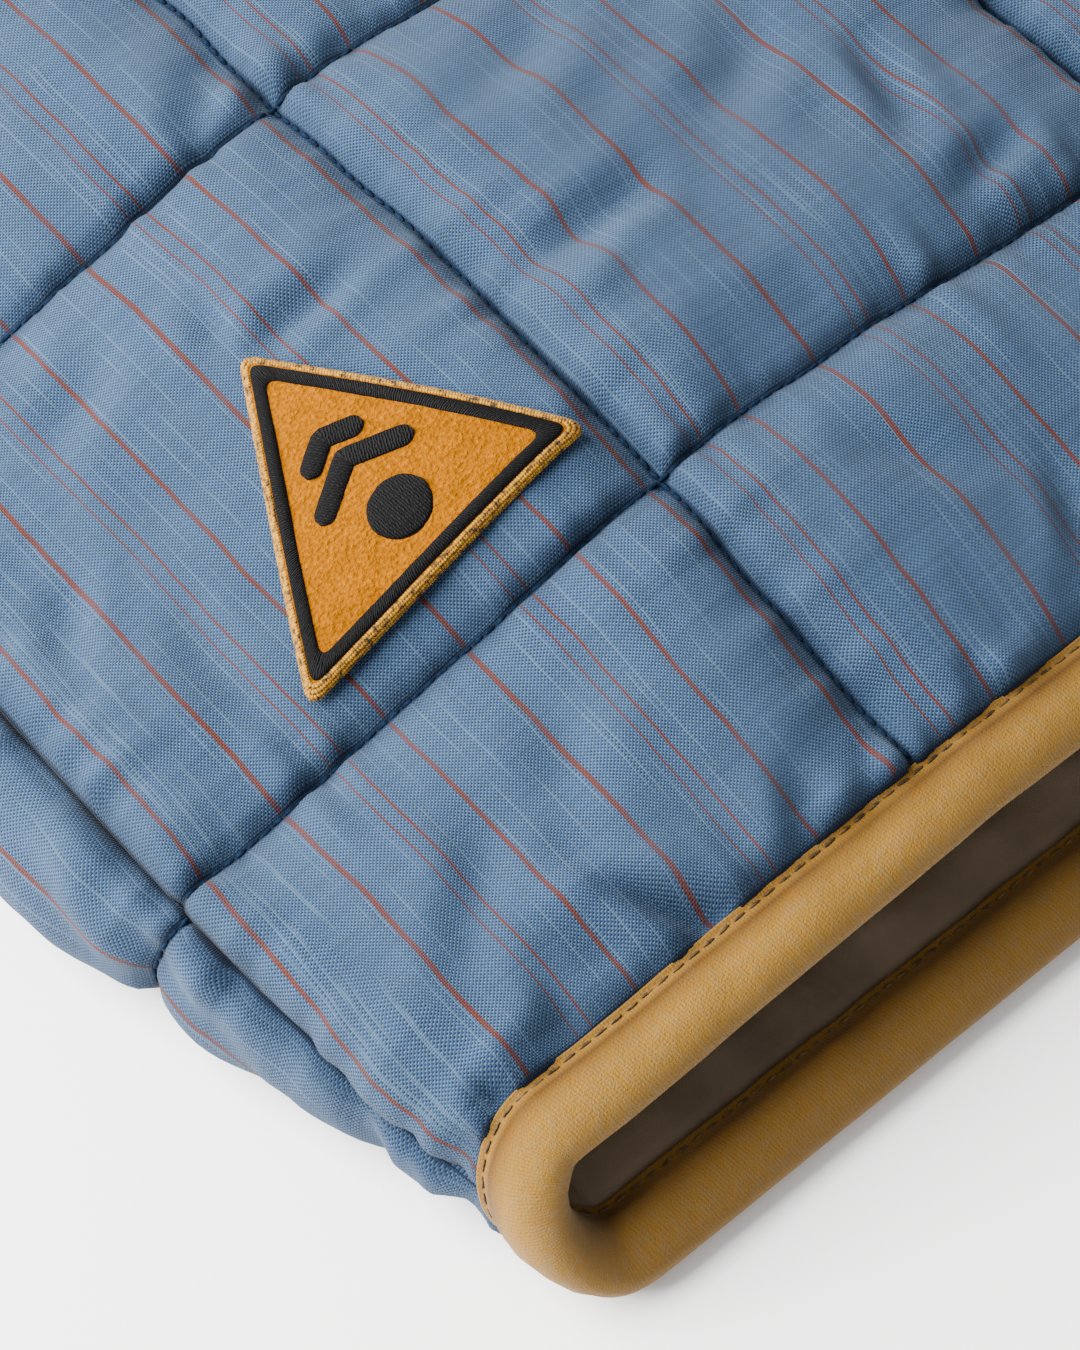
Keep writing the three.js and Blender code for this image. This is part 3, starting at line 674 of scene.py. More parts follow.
def front_grid(near, far):
    """The front's cloth coordinates c and y, row by row from the hem, from the side to the centre."""
    rows = Rows(0, shoulder_top, near, far, (ARMHOLE_Y, NECK_FOOT))
    side = np.full(rows.part.shape, SEAM_X)
    neck = np.full(rows.part.shape, NECK_HALF)
    for _ in range(SETTLE):
        side = armhole_front_x(rows.y(side, SEAM_X - side))
        neck = np.maximum(FRONT_EDGE_X, front_neck_x(rows.y(neck, SEAM_X - neck)))
    channel = np.maximum(CHANNELS_X[1], lerp(CHANNELS_X[0], neck, 0.72))
    anchors = [0, SEAM_X - CHANNELS_X[0], SEAM_X - CHANNELS_X[1], EDGE_C]
    base = joined(with_lines(0, NEAR_C, near, anchors[1:3]), steps(NEAR_C, EDGE_C, far))
    c = np.array(
        [
            np.interp(base, anchors, [SEAM_X - s, anchors[1], SEAM_X - v, SEAM_X - n])
            for s, v, n in zip(side[:, 0], channel[:, 0], neck[:, 0])
        ]
    )
    y = rows.y(SEAM_X - c, c)
    for k, line in enumerate(CHANNELS_X):
        c = drawn_to(c, SEAM_X - line, -channel_wander(y + 40 * k))
    return c, y


# Columns under the neck, and where they end on its curve.
NECK_COLUMNS_X = (0, 19, 38, 55, 70, 85)
NECK_COLUMNS_AT_NECK = (0, 35, 64, 78, 83.5, 85)


def back_grid(near, far, fold_spacing, flat_spacing):
    """Half of the back's cloth coordinates, from the side seam to the centre line."""
    rows = Rows(QUILT_BACK_SHIFT, back_top, near, far, (ARMHOLE_Y,))

    def y_at(c):
        return rows.y(under_x(c, rows.y(np.full_like(c, NECK_HALF), c)), c)

    edge = np.zeros(rows.part.shape)
    for _ in range(SETTLE):
        edge = armhole_back_c(y_at(edge))
    centre_c = np.full(rows.part.shape, -SEAM_X)
    side_y = rows.y(np.full_like(edge, SIDE_X), centre_c)
    neck_y = rows.y(np.full_like(edge, NECK_HALF), centre_c)
    fold_end = under_c(fold_start(side_y), side_y)
    flat_end = under_c(NECK_HALF, neck_y)
    fold = steps(0, 1, fold_spacing / FOLD_LENGTH)
    flat = steps(0, 1, flat_spacing / (SIDE_X - NECK_HALF))[1:]
    base = np.concatenate([fold * fold_end, lerp(fold_end, flat_end, flat)], 1)
    c = lerp(edge, flat_end, base / flat_end)
    x = steps(NECK_HALF, 0, flat_spacing)[1:]
    neck_end = back_neck_y(0) - SHOULDER_CLOTH
    near_neck = smoothstep(rows.y(np.zeros_like(edge), centre_c), LAST_QUILT_Y, neck_end)
    x = lerp(x, np.interp(x, NECK_COLUMNS_X, NECK_COLUMNS_AT_NECK), near_neck)
    middle_y = rows.y(x, np.full_like(x, -SEAM_X))
    c = np.concatenate([c, under_c(x, middle_y)], 1)
    return c, y_at(c)


# ---- meshes -------------------------------------------------------------------------------------


def grid_quads(rows, columns, start=0, is_loop=False):
    """Four-sided faces of a grid whose points are numbered row by row."""
    index = start + np.arange(rows * columns).reshape(rows, columns)
    if is_loop:
        index = np.concatenate([index, index[:, :1]], 1)
    corners = [index[:-1, :-1], index[:-1, 1:], index[1:, 1:], index[1:, :-1]]
    return np.stack([corner.ravel() for corner in corners], 1)


def loop_quads(rings, count):
    """Faces of a ring-shaped tube: the rings close on each other, and so does each ring."""
    quads = grid_quads(rings, count, is_loop=True)
    first, last = np.arange(count), np.arange(count) + (rings - 1) * count
    return np.concatenate([quads, np.stack([last, np.roll(last, -1), np.roll(first, -1), first], 1)])


def border(rows, columns, start):
    """The grid's edge points in order, all the way round."""
    index = start + np.arange(rows * columns).reshape(rows, columns)
    return np.concatenate([index[0, :-1], index[:-1, -1], index[-1, :0:-1], index[:0:-1, 0]])


def wall_quads(rows, columns):
    """Faces of a closed wall of two equal grids, with its rims."""
    count = rows * columns
    outer, inner = border(rows, columns, 0), border(rows, columns, count)
    rims = np.stack([outer, inner, np.roll(inner, -1), np.roll(outer, -1)], 1)
    return np.concatenate([grid_quads(rows, columns), grid_quads(rows, columns, count)[:, ::-1], rims])


def outside_out(points, quads):
    """The faces, turned so that they point out of the closed shape."""
    a, b, c, d = (points[quads[:, k]] for k in range(4))
    volume = np.einsum("ij,ij->i", a, np.cross(b, c)) + np.einsum("ij,ij->i", a, np.cross(c, d))
    return quads if volume.sum() > 0 else quads[:, ::-1]


FAR_FROM_SEAM = 20.0  # stands for the distance to a seam where there is none near


def mesh_object(name, points, quads, uv, gap=None):
    """A smooth mesh object from points in millimetres, four-sided faces and a map in metres."""
    quads = outside_out(points, quads)
    mesh = bpy.data.meshes.new(name)
    mesh.vertices.add(len(points))
    mesh.vertices.foreach_set("co", (points * MM).astype(np.float32).ravel())
    mesh.loops.add(quads.size)
    mesh.loops.foreach_set("vertex_index", quads.astype(np.int32).ravel())
    mesh.polygons.add(len(quads))
    mesh.polygons.foreach_set("loop_start", np.arange(0, quads.size, 4, dtype=np.int32))
    mesh.update(calc_edges=True)
    mesh.polygons.foreach_set("use_smooth", np.ones(len(quads), dtype=bool))
    layer = mesh.uv_layers.new(name="weave")
    layer.data.foreach_set("uv", (uv * MM)[quads.ravel()].astype(np.float32).ravel())
    attribute = mesh.attributes.new("seam_gap", "FLOAT", "POINT")
    values = np.full(len(points), FAR_FROM_SEAM) if gap is None else gap
    attribute.data.foreach_set("value", values.astype(np.float32).ravel())
    if mesh.validate():
        raise RuntimeError(f"{name} has bad faces")
    item = bpy.data.objects.new(name, mesh)
    bpy.context.scene.collection.objects.link(item)
    return item


def wall_object(name, outer, inner, plan, gap=None):
    """A closed wall from its outer and inner points, with the plan's map on both faces."""
    rows, columns = outer.shape[:2]
    points = np.concatenate([outer.reshape(-1, 3), inner.reshape(-1, 3)])
    uv = np.tile(plan.reshape(-1, 2), (2, 1))
    if gap is not None:
        gap = np.concatenate([gap.ravel(), np.full(rows * columns, FAR_FROM_SEAM)])
    return mesh_object(name, points, wall_quads(rows, columns), uv, gap)


def mirrored(points):
    return points * np.array([-1, 1, 1])


def joined_halves(right, left):
    """Each of the right half's grids and the left's beside it, with the centre line taken once."""
    return [np.concatenate([a, b[:, -2::-1]], 1) for a, b in zip(right, left)]


def finish_piece(item, material, nodes=()):
    """The material, the body it rides on, and hiding the parts that it stands for."""
    item.data.materials.clear()
    item.data.materials.append(material)
    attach(item, BODY)
    if nodes:
        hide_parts(*nodes)


# ---- materials ----------------------------------------------------------------------------------


def wire(tree, source, socket):
    """Feeds a socket from another one, or sets it to a number, a place or a colour."""
    if isinstance(source, bpy.types.NodeSocket):
        tree.links.new(source, socket)
    elif isinstance(source, (int, float)):
        socket.default_value = source
    else:
        socket.default_value = (*source, 1)[: len(socket.default_value)]


def add_node(tree, kind, values=(), **settings):
    """A new node with its settings, and its inputs by name or by place."""
    node = tree.nodes.new(kind)
    for name, value in settings.items():
        setattr(node, name, value)
    for name, value in dict(values).items():
        wire(tree, value, node.inputs[name])
    return node


class Finish:
    """A material, and short ways to add nodes to it."""

    def __init__(self, name, roughness, sheen=0.0, specular=0.3):
        self.material = bpy.data.materials.new(name)
        self.material.use_nodes = True
        self.tree = self.material.node_tree
        self.shader = self.tree.nodes["Principled BSDF"]
        self.shader.inputs["Roughness"].default_value = roughness
        self.shader.inputs["Sheen Weight"].default_value = sheen
        self.shader.inputs["Sheen Roughness"].default_value = 0.4
        self.shader.inputs["Specular IOR Level"].default_value = specular

    def node(self, kind, values=(), **settings):
        return add_node(self.tree, kind, values, **settings)

    def math(self, operation, *values):
        return self.node("ShaderNodeMath", enumerate(values), operation=operation).outputs[0]

    def add(self, a, b):
        return self.math("ADD", a, b)

    def times(self, a, b):
        return self.math("MULTIPLY", a, b)

    def mix(self, part, start, end, blend="MIX"):
        values = {0: part, 6: start, 7: end}
        return self.node("ShaderNodeMix", values, data_type="RGBA", blend_type=blend).outputs[2]

    def spread(self, value, low, high, start=0.0, end=1.0):
        """Moves low..high smoothly to start..end."""
        values = {0: value, 1: low, 2: high, 3: start, 4: end}
        node = self.node("ShaderNodeMapRange", values, interpolation_type="SMOOTHSTEP")
        return node.outputs[0]

    def vector(self, x, y, z=0.0):
        return self.node("ShaderNodeCombineXYZ", enumerate((x, y, z))).outputs[0]

    def cloud(self, u, v, across, along, detail=2.0):
        """Noise with its own scale in each of the map's directions."""
        return self.noise(self.vector(self.times(u, across), self.times(v, along)), 1.0, detail)

    def noise(self, vector, scale=1.0, detail=2.0):
        node = self.node("ShaderNodeTexNoise", {"Vector": vector, "Scale": scale, "Detail": detail})
        return node.outputs[0]

    def chance(self, value):
        """A random number for each whole number."""
        return self.node("ShaderNodeTexWhiteNoise", {"W": value}, noise_dimensions="1D").outputs["Value"]

    def plan(self):
        """The weave map's two directions in millimetres."""
        uv = self.node("ShaderNodeUVMap", uv_map="weave").outputs[0]
        axes = self.node("ShaderNodeSeparateXYZ", {0: uv})
        return self.times(axes.outputs[0], 1 / MM), self.times(axes.outputs[1], 1 / MM)

    def place_mm(self):
        """Object coordinates in millimetres."""
        place_node = self.node("ShaderNodeTexCoord")
        values = {0: place_node.outputs["Object"], "Scale": 1 / MM}
        return self.node("ShaderNodeVectorMath", values, operation="SCALE").outputs[0]

    def attribute(self, name):
        return self.node("ShaderNodeAttribute", attribute_name=name).outputs["Fac"]

    def ramp(self, value, stops, interpolation="LINEAR"):
        node = self.node("ShaderNodeValToRGB", {0: value})
        node.color_ramp.interpolation = interpolation
        elements = node.color_ramp.elements
        while len(elements) < len(stops):
            elements.new(1.0)
        for element, (position, colour) in zip(elements, stops):
            element.position = position
            element.color = (*colour, 1)
        return node.outputs[0]

    def bump(self, height, distance, strength=1.0):
        values = {"Height": height, "Distance": distance * MM, "Strength": strength}
        below = self.shader.inputs["Normal"]
        if below.is_linked:
            values["Normal"] = below.links[0].from_socket
        wire(self.tree, self.node("ShaderNodeBump", values).outputs[0], below)

    def colour(self, socket):
        wire(self.tree, socket, self.shader.inputs["Base Color"])


def scaled(colour, factor):
    return tuple(min(1, part * factor) for part in colour)


# Each rust stripe's start and width in one repeat, in millimetres.
STRIPES = ((0.1, 0.6), (8.6, 0.32), (10.7, 0.32), (17.7, 0.6))
STRIPE_START = 11.9  # plan place of the first wide stripe, just outside the channel


def slubs(finish, warp_index, v):
    """1 where a warp thread thickens into a slub."""
    slub_thread = finish.spread(finish.chance(warp_index), 0.87, 0.89)
    slub_run = finish.cloud(warp_index, v, 3.3, 0.07, 2.0)
    return finish.times(slub_thread, finish.spread(slub_run, 0.4, 0.6))


def rust_stripes(finish, u, repeat):
    """1 on the rust stripes and 0 between them."""
    within = finish.math("FRACT", finish.times(finish.math("SUBTRACT", u, STRIPE_START), 1 / repeat))
    stops = []
    for start, width in STRIPES:
        stops += [(start / repeat, (1, 1, 1)), ((start + width) / repeat, (0, 0, 0))]
    return finish.ramp(within, stops, "CONSTANT")


def chambray(cloth):
    """Plain weave of blue warp and pale weft with slubs and rust stripes; navy thread and painted shade at
    the ditches.
    """
    finish = Finish("chambray", 0.9, sheen=0.05, specular=0.15)
    u, v = finish.plan()
    soft = finish.cloud(u, v, 0.03, 0.05, 3.0)
    u = finish.add(u, finish.times(finish.math("SUBTRACT", soft, 0.5), 1.6))
    v = finish.add(v, finish.times(finish.math("SUBTRACT", soft, 0.5), -1.2))
    pitch = cloth.pitch / MM
    warp, weft = finish.times(u, 1 / pitch), finish.times(v, 1 / pitch)
    crest = finish.times(*(finish.math("SINE", finish.times(way, math.pi)) for way in (warp, weft)))
    over = finish.spread(crest, -0.22, 0.3)
    warp_index, weft_index = finish.math("FLOOR", warp), finish.math("FLOOR", weft)
    warp_tone = finish.cloud(warp_index, v, 1.37, 0.05, 1.0)
    weft_tone = finish.cloud(u, weft_index, 0.06, 1.71, 1.0)
    warp_share, weft_share = finish.spread(warp_tone, 0.3, 0.7), finish.spread(weft_tone, 0.28, 0.72)
    warp_colour = finish.mix(warp_share, scaled(cloth.warp, 0.72), scaled(cloth.warp, 1.3))
    weft_colour = finish.mix(weft_share, scaled(cloth.weft, 0.82), scaled(cloth.weft, 1.12))

    slub = slubs(finish, warp_index, v)
    warp_colour = finish.mix(finish.times(slub, 0.68), warp_colour, scaled(cloth.weft, 1.2))
    weft_run = finish.cloud(u, weft_index, 0.12, 2.9, 2.0)
    slub_weft = finish.spread(weft_run, 0.62, 0.74)
    weft_colour = finish.mix(finish.times(slub_weft, 0.3), weft_colour, scaled(cloth.weft, 1.5))
    weft_colour = finish.mix(finish.times(slub, 0.12), weft_colour, scaled(cloth.weft, 1.35))

    stripe = rust_stripes(finish, u, cloth.repeat / MM)
    rust = finish.mix(warp_tone, scaled(cloth.stripe, 0.75), scaled(cloth.stripe, 1.25))
    warp_colour = finish.mix(stripe, warp_colour, rust)
    weft_colour = finish.mix(finish.times(stripe, 0.85), weft_colour, scaled(cloth.stripe, 1.3))
    cloth_colour = finish.mix(over, weft_colour, warp_colour)

    wash = finish.cloud(u, v, 0.06, 0.06, 4.0)
    cloth_colour = finish.mix(finish.spread(wash, 0.3, 0.75, 0.0, 0.2), cloth_colour, cloth.weft)
    # Painted shade: navy in each ditch, partly the thread's colour and partly shade, and painted shade a few
    # millimetres to each side of every stitched line and taped edge.
    gap = finish.attribute("seam_gap")
    thread_and_shade_in_ditch, beside = finish.spread(gap, 0.25, 1.1, 1.0, 0.0), finish.spread(gap, 0.5, 4.0, 0.42, 0.0)
    ditch = finish.math("MAXIMUM", thread_and_shade_in_ditch, beside)
    finish.colour(finish.mix(ditch, cloth_colour, cloth.thread))

    fuzz = finish.noise(finish.vector(u, v), 5.0, 3.0)
    height = finish.add(finish.math("ABSOLUTE", crest), finish.times(slub, 0.6))
    finish.bump(finish.add(height, finish.times(fuzz, 0.5)), 0.13, 0.8)
    return finish.material


def quilting_cotton(colour):
    """Navy thread with a twisted ply."""
    finish = Finish("quilting_thread", 0.85, specular=0.05)
    place_mm = finish.place_mm()
    tone = finish.noise(place_mm, 1.3, 3.0)
    finish.colour(finish.mix(finish.spread(tone, 0.3, 0.7), scaled(colour, 0.6), scaled(colour, 1.7)))
    finish.bump(finish.noise(place_mm, 5.0, 2.0), 0.08)
    return finish.material


# Colours across the tape, from one lip round its nose to the other, as parts of its width: darker along
# both lines of stitching, and painted shade over the inner half from about 0.6 on.
TAPE_BAND = (
    (0.0, (0.92, 0.88, 0.8)),
    (0.045, (0.85, 0.8, 0.7)),
    (0.085, (0.3, 0.24, 0.2)),
    (0.125, (0.62, 0.56, 0.48)),
    (0.2, (1.0, 1.0, 1.0)),
    (0.34, (1.04, 1.05, 1.1)),
    (0.46, (0.92, 0.98, 1.5)),
    (0.6, (0.6, 0.62, 0.8)),
    (0.8, (0.5, 0.5, 0.55)),
    (0.875, (0.38, 0.33, 0.28)),
    (0.915, (0.22, 0.17, 0.13)),
    (0.96, (0.5, 0.45, 0.38)),
    (1.0, (0.56, 0.5, 0.44)),
)
TAPE_ROUND = 26.0  # the tape's width from lip to lip
TAPE_DUST = (0.16, 0.11, 0.045)
BAND_SCALE = 0.6  # keeps the band's colours under 1, where a ramp would clip them


def brushed_tape(trim):
    """Mustard cotton tape: fine ribs across, a dusty nap, darker along the stitching, painted shade on its
    inner half and in its hollows.
    """
    finish = Finish("brushed_tape", 0.92, sheen=0.1, specular=0.1)
    u, v = finish.plan()
    stops = [(part, scaled(colour, BAND_SCALE)) for part, colour in TAPE_BAND]
    # The band darkens the lines of stitching and paints shade over the tape's inner half.
    band = finish.ramp(finish.times(v, 1 / TAPE_ROUND), stops)
    dust = finish.cloud(u, v, 0.8, 0.55, 4.0)
    share = finish.spread(dust, 0.36, 0.72, 0.0, 0.45)
    dusty = finish.mix(share, scaled(trim.tape, 1 / BAND_SCALE), scaled(TAPE_DUST, 1 / BAND_SCALE))
    colour = finish.mix(1.0, dusty, band, "MULTIPLY")
    wear = finish.cloud(u, v, 0.07, 0.16, 3.0)
    colour = finish.mix(finish.spread(wear, 0.42, 0.68, 0.0, 0.3), colour, scaled(trim.tape, 0.62))
    rib = finish.math("SINE", finish.times(finish.add(u, finish.times(v, 0.2)), 2 * math.pi / 0.55))
    speck = finish.noise(finish.vector(u, v), 3.4, 3.0)
    # Painted shade where the ribs and specks are low, in the hollows of the bump.
    rib_hollow_shade = finish.spread(finish.add(finish.times(rib, 0.45), speck), 0.0, 1.0, 0.26, 0.0)
    colour = finish.mix(rib_hollow_shade, colour, scaled(trim.tape, 0.45))
    finish.colour(colour)
    height = finish.add(finish.times(rib, 0.12), finish.times(speck, 1.7))
    finish.bump(finish.add(height, finish.times(dust, 1.2)), 0.14, 0.8)
    return finish.material


def tape_cotton(trim):
    """Golden brown thread along the tape."""
    finish = Finish("tape_thread", 0.7, sheen=0.05)
    place_mm = finish.place_mm()
    tone = finish.noise(place_mm, 0.8, 3.0)
    share = finish.spread(tone, 0.32, 0.68)
    finish.colour(finish.mix(share, scaled(trim.tape, 0.08), scaled(trim.tape, 0.5)))
    finish.bump(finish.noise(place_mm, 5.0, 2.0), 0.08)
    return finish.material


def lining_nylon(trim):
    """Thin taupe nylon with a satiny gleam and a fine grain."""
    finish = Finish("lining_nylon", 0.5, sheen=0.03, specular=0.25)
    u, v = finish.plan()
    turn = 2 * math.pi / 0.4
    grain = finish.times(*(finish.math("SINE", finish.times(way, turn)) for way in (u, v)))
    cloud = finish.cloud(u, v, 0.05, 0.05, 4.0)
    colour = finish.mix(finish.spread(cloud, 0.3, 0.7), scaled(trim.lining, 0.8), scaled(trim.lining, 1.2))
    finish.colour(finish.mix(finish.spread(grain, -0.8, 0.8, 0.16, 0.0), colour, scaled(trim.lining, 0.5)))
    crinkle = finish.cloud(u, v, 0.5, 0.3, 4.0)
    finish.bump(crinkle, 0.5, 0.5)
    finish.bump(grain, 0.03, 0.6)
    return finish.material


def patch_felt(trim):
    """Orange felt: matted fibres, pale fluff and painted shade in a few hollows."""
    finish = Finish("patch_felt", 0.97, specular=0.0)
    u, v = finish.plan()
    fibres = finish.noise(finish.vector(u, v), 1.7, 6.0)
    blotch = finish.cloud(u, v, 0.35, 0.35, 3.0)
    colour = finish.mix(finish.spread(blotch, 0.34, 0.68), scaled(trim.felt, 0.82), trim.felt)
    # Painted shade in the felt's hollows, where the fibres are low.
    colour = finish.mix(finish.spread(fibres, 0.34, 0.54, 0.62, 0.0), colour, scaled(trim.felt, 0.5))
    finish.colour(finish.mix(finish.spread(fibres, 0.56, 0.74, 0.0, 0.7), colour, (0.32, 0.12, 0.004)))
    finish.bump(finish.add(fibres, blotch), 0.6, 0.9)
    return finish.material


def satin_stitch():
    """Black embroidery thread laid side by side, with a painted gleam on each thread and painted shade
    between threads.
    """
    finish = Finish("black_satin_stitch", 0.8, specular=0.12)
    u, v = finish.plan()
    jitter = finish.noise(finish.vector(u, v), 1.6, 2.0)
    run = finish.times(finish.add(u, finish.times(jitter, 0.5)), 2 * math.pi / 0.38)
    threads = finish.math("SINE", run)
    # Painted gleam along each thread's crest and painted shade in the gaps between threads.
    colour = finish.mix(finish.spread(threads, -0.5, 0.9), (0.0008, 0.0008, 0.001), (0.0045, 0.004, 0.0045))
    fluff = finish.spread(finish.noise(finish.vector(u, v), 4.5, 3.0), 0.62, 0.74)
    finish.colour(finish.mix(fluff, colour, (0.014, 0.012, 0.012)))
    finish.bump(finish.add(threads, finish.times(jitter, 1.5)), 0.14, 0.9)
    return finish.material


def overlock_cotton():
    """Dull gold and dark thread wrapped over the patch's edge."""
    finish = Finish("overlock_thread", 0.8, sheen=0.06)
    place_mm = finish.place_mm()
    tone = finish.noise(place_mm, 1.4, 3.0)
    shades = [(0.36, (0.03, 0.016, 0.003)), (0.46, (0.2, 0.088, 0.003)), (0.64, (0.36, 0.17, 0.004))]
    finish.colour(finish.ramp(tone, shades))
    finish.bump(finish.noise(place_mm, 4.0, 2.0), 0.1)
    return finish.material


def plain_floor(colour):
    finish = Finish("pale_floor", 0.95, specular=0.05)
    tone = finish.noise(finish.place_mm(), 0.004, 2.0)
    finish.colour(finish.mix(tone, scaled(colour, 0.995), colour))
    return finish.material


# ---- panels -------------------------------------------------------------------------------------

BACK_MIDDLE_C = float(under_c(0, 0))
BACK_PLAN_SHIFT = 3.0  # moves the back's stripes along


def front_plan(c, y, side):
    return np.stack([side * (SEAM_X - c), y], -1)


def back_plan(c, y):
    """The back's map: straight along the side, and from the centre line underneath."""
    middle = lerp(BACK_MIDDLE_C, under_c(0, y), smoothstep(-c, 40, 90))
    return np.stack([middle - c - BACK_PLAN_SHIFT, y], -1)


def make_front(side, quilting, material):
    """One quilted front; side is -1 for the wearer's right and 1 for the left."""
    is_right = side < 0
    near = (quilting.fine if is_right else quilting.coarse) / MM
    c, y = front_grid(near, quilting.coarse / MM)
    relief = front_relief(c, y, quilting, -side)
    outer, inner = on_cloth(c, y, relief), on_cloth(c, y, -wall_at(c, y))
    if not is_right:
        outer, inner = mirrored(outer), mirrored(inner)
    node = "front_right" if is_right else "front_left"
    item = wall_object(f"quilted_{node}", outer, inner, front_plan(c, y, side), front_gap(c, y))
    finish_piece(item, material, (node,))


def make_back(quilting, material):
    near, far = quilting.fine / MM, quilting.coarse / MM
    halves = []
    for side, fold_spacing in ((-1, near), (1, 0.7 * far)):
        c, y = back_grid(near, far, fold_spacing, 1.4 * far)
        faces = [on_cloth(c, y, back_relief(c, y, quilting)), on_cloth(c, y, -wall_at(c, y))]
        if side > 0:
            faces = [mirrored(face) for face in faces]
        halves.append([*faces, back_plan(c, y) * np.array([side, 1]), back_gap(c, y)])
    outer, inner, plan, gap = joined_halves(*halves)
    outer[..., 2] = np.maximum(outer[..., 2], 0)
    item = wall_object("quilted_back", outer, inner, plan, gap)
    finish_piece(item, material, ("back",))


# ---- lining -------------------------------------------------------------------------------------

LINING_THICK = 0.35
# Spacing of the lining's points: where it gathers, in its rows at the hem, and elsewhere.
LINING_FINE = 2.8
LINING_ROWS = 2.2
LINING_COARSE = 8.0
# Deeper gathers at the back's hem: place from the side seam along the hem, width and depth.
HEM_GATHERS = (
    (-47, 4.6, 3.0),
    (-58, 4.4, 2.2),
    (-74, 5.2, 3.6),
    (-96, 4.4, 2.4),
    (-112, 5.6, 3.6),
    (-139, 4.8, 2.8),
    (-160, 5.2, 3.2),
    (-205, 4.8, 2.6),
)


def lining_relief(c, y, shift):
    """How far the lining stands into the hollow: loose between lines, gathered at the hem."""
    rows = np.abs(row_gap(c, y, shift))
    hem = np.maximum(0, y - hem_y(c) - 2.0)
    loose = 1.6 * swell(np.minimum(rows, hem) * 1.3)
    gathers = noise(c / 4.2, y / 40, 91) + 0.5 * noise(c / 2.1, y / 24, 92)
    hemmed = 1.3 * np.clip(gathers + 0.3, 0, None) ** 1.4 * np.exp(-hem / 20) * smoothstep(hem, 0, 7)
    for middle, width, depth in HEM_GATHERS:
        lean = middle + 0.35 * hem
        fold = depth * np.exp(-(((c - lean) / width) ** 2))
        hemmed = hemmed + fold * np.exp(-hem / 26) * smoothstep(hem, 0, 8)
    at_rows = 0.5 * noise(c / 3.5, y / 20, 93) * np.exp(-rows / 7) * smoothstep(rows, 0, 2)
    return np.maximum(0, loose + hemmed + at_rows + 0.5 * noise(c / 16, y / 14, 94) * swell(rows))


def lining_sheet(c, y, shift, side):
    """The lining's face against the wadding and its face in the hollow."""
    depth = -wall_at(c, y) - LINING_DEPTH
    relief = lining_relief(c, y, shift)
    faces = [on_cloth(c, y, depth - relief), on_cloth(c, y, depth - relief - LINING_THICK)]
    return [mirrored(face) if side > 0 else face for face in faces]


def make_linings(material):
    c, y = front_grid(0.6 * LINING_COARSE, 1.2 * LINING_COARSE)
    for side, name in ((-1, "lining_front_right"), (1, "lining_front_left")):
        outer, inner = lining_sheet(c, y, 0, side)
        item = wall_object(f"sewn_{name}", outer, inner, front_plan(c, y, side))
        finish_piece(item, material, (name,))
    halves = []
    for side, flat_spacing in ((-1, LINING_FINE), (1, LINING_COARSE)):
        c, y = back_grid(LINING_ROWS, LINING_COARSE, LINING_FINE, flat_spacing)
        plan = back_plan(c, y) * np.array([-side, 1])
        halves.append([*lining_sheet(c, y, QUILT_BACK_SHIFT, side), plan])
    outer, inner, plan = joined_halves(*halves)
    item = wall_object("sewn_lining_back", outer, inner, plan)
    finish_piece(item, material, ("lining_back",))


# ---- edge tape ----------------------------------------------------------------------------------

TAPE_THICK = 0.55
NOSE_START = 4.6  # depth off the edge at which the tape starts to turn round
TAPE_LIP = 1.0  # the tape's outer face, above the stitched level
TAPE_UNDER = 2.5  # the tape's inner face, below the wadding's
TAPE_STITCH_DEPTH = 0.9  # the stitches pull the tape in this far
# How the tape's face rises with its depth off the edge: thin at the lip, held down by the stitches.
CROWN_DEPTH = (-2.5, -1.9, -0.9, 0.25, 1.3, 2.8, 5.0)
CROWN_RISE = (-0.85, -0.8, -0.6, -0.95, -0.45, 0.0, 0.1)


def tape_faces(c, y):
    """Levels of the tape's outer and inner face along an edge."""
    return TAPE_LIP * smoothstep(round_fold(c, y), 0.05, 0.5), -wall_at(c, y) - TAPE_UNDER


def tape_outline(lip):
    """The tape's section: depth off the edge, level through the wall and width round it."""
    flat = np.array([-lip, -0.6 * lip, -0.1 * lip, 0.35, 0.8, 1.4, 2.4, 3.5])
    turn = np.linspace(0, math.pi, 9)
    nose = NOSE_START + (BIND_WIDTH - NOSE_START) * np.sin(turn)
    depth = np.concatenate([flat, nose, flat[::-1]])
    level = np.concatenate([np.ones(8), 0.5 + 0.5 * np.cos(turn), np.zeros(8)])
    return depth, level


def tape_path(c, y, turn, is_loop=False, is_mirrored=False):
    """Spots, normals and directions off the edge along a line of cloth points."""
    spots, normals = place(c, y), outward(c, y)
    if is_mirrored:
        after = mirrored(spots[-2:-1])
        padded = np.concatenate([spots[:1], spots, after])
    elif is_loop:
        padded = np.concatenate([spots[-1:], spots, spots[:1]])
    else:
        padded = np.concatenate([spots[:1], spots, spots[-1:]])
    tangents = unit(padded[2:] - padded[:-2])
    return spots, normals, unit(np.cross(tangents, normals)) * turn


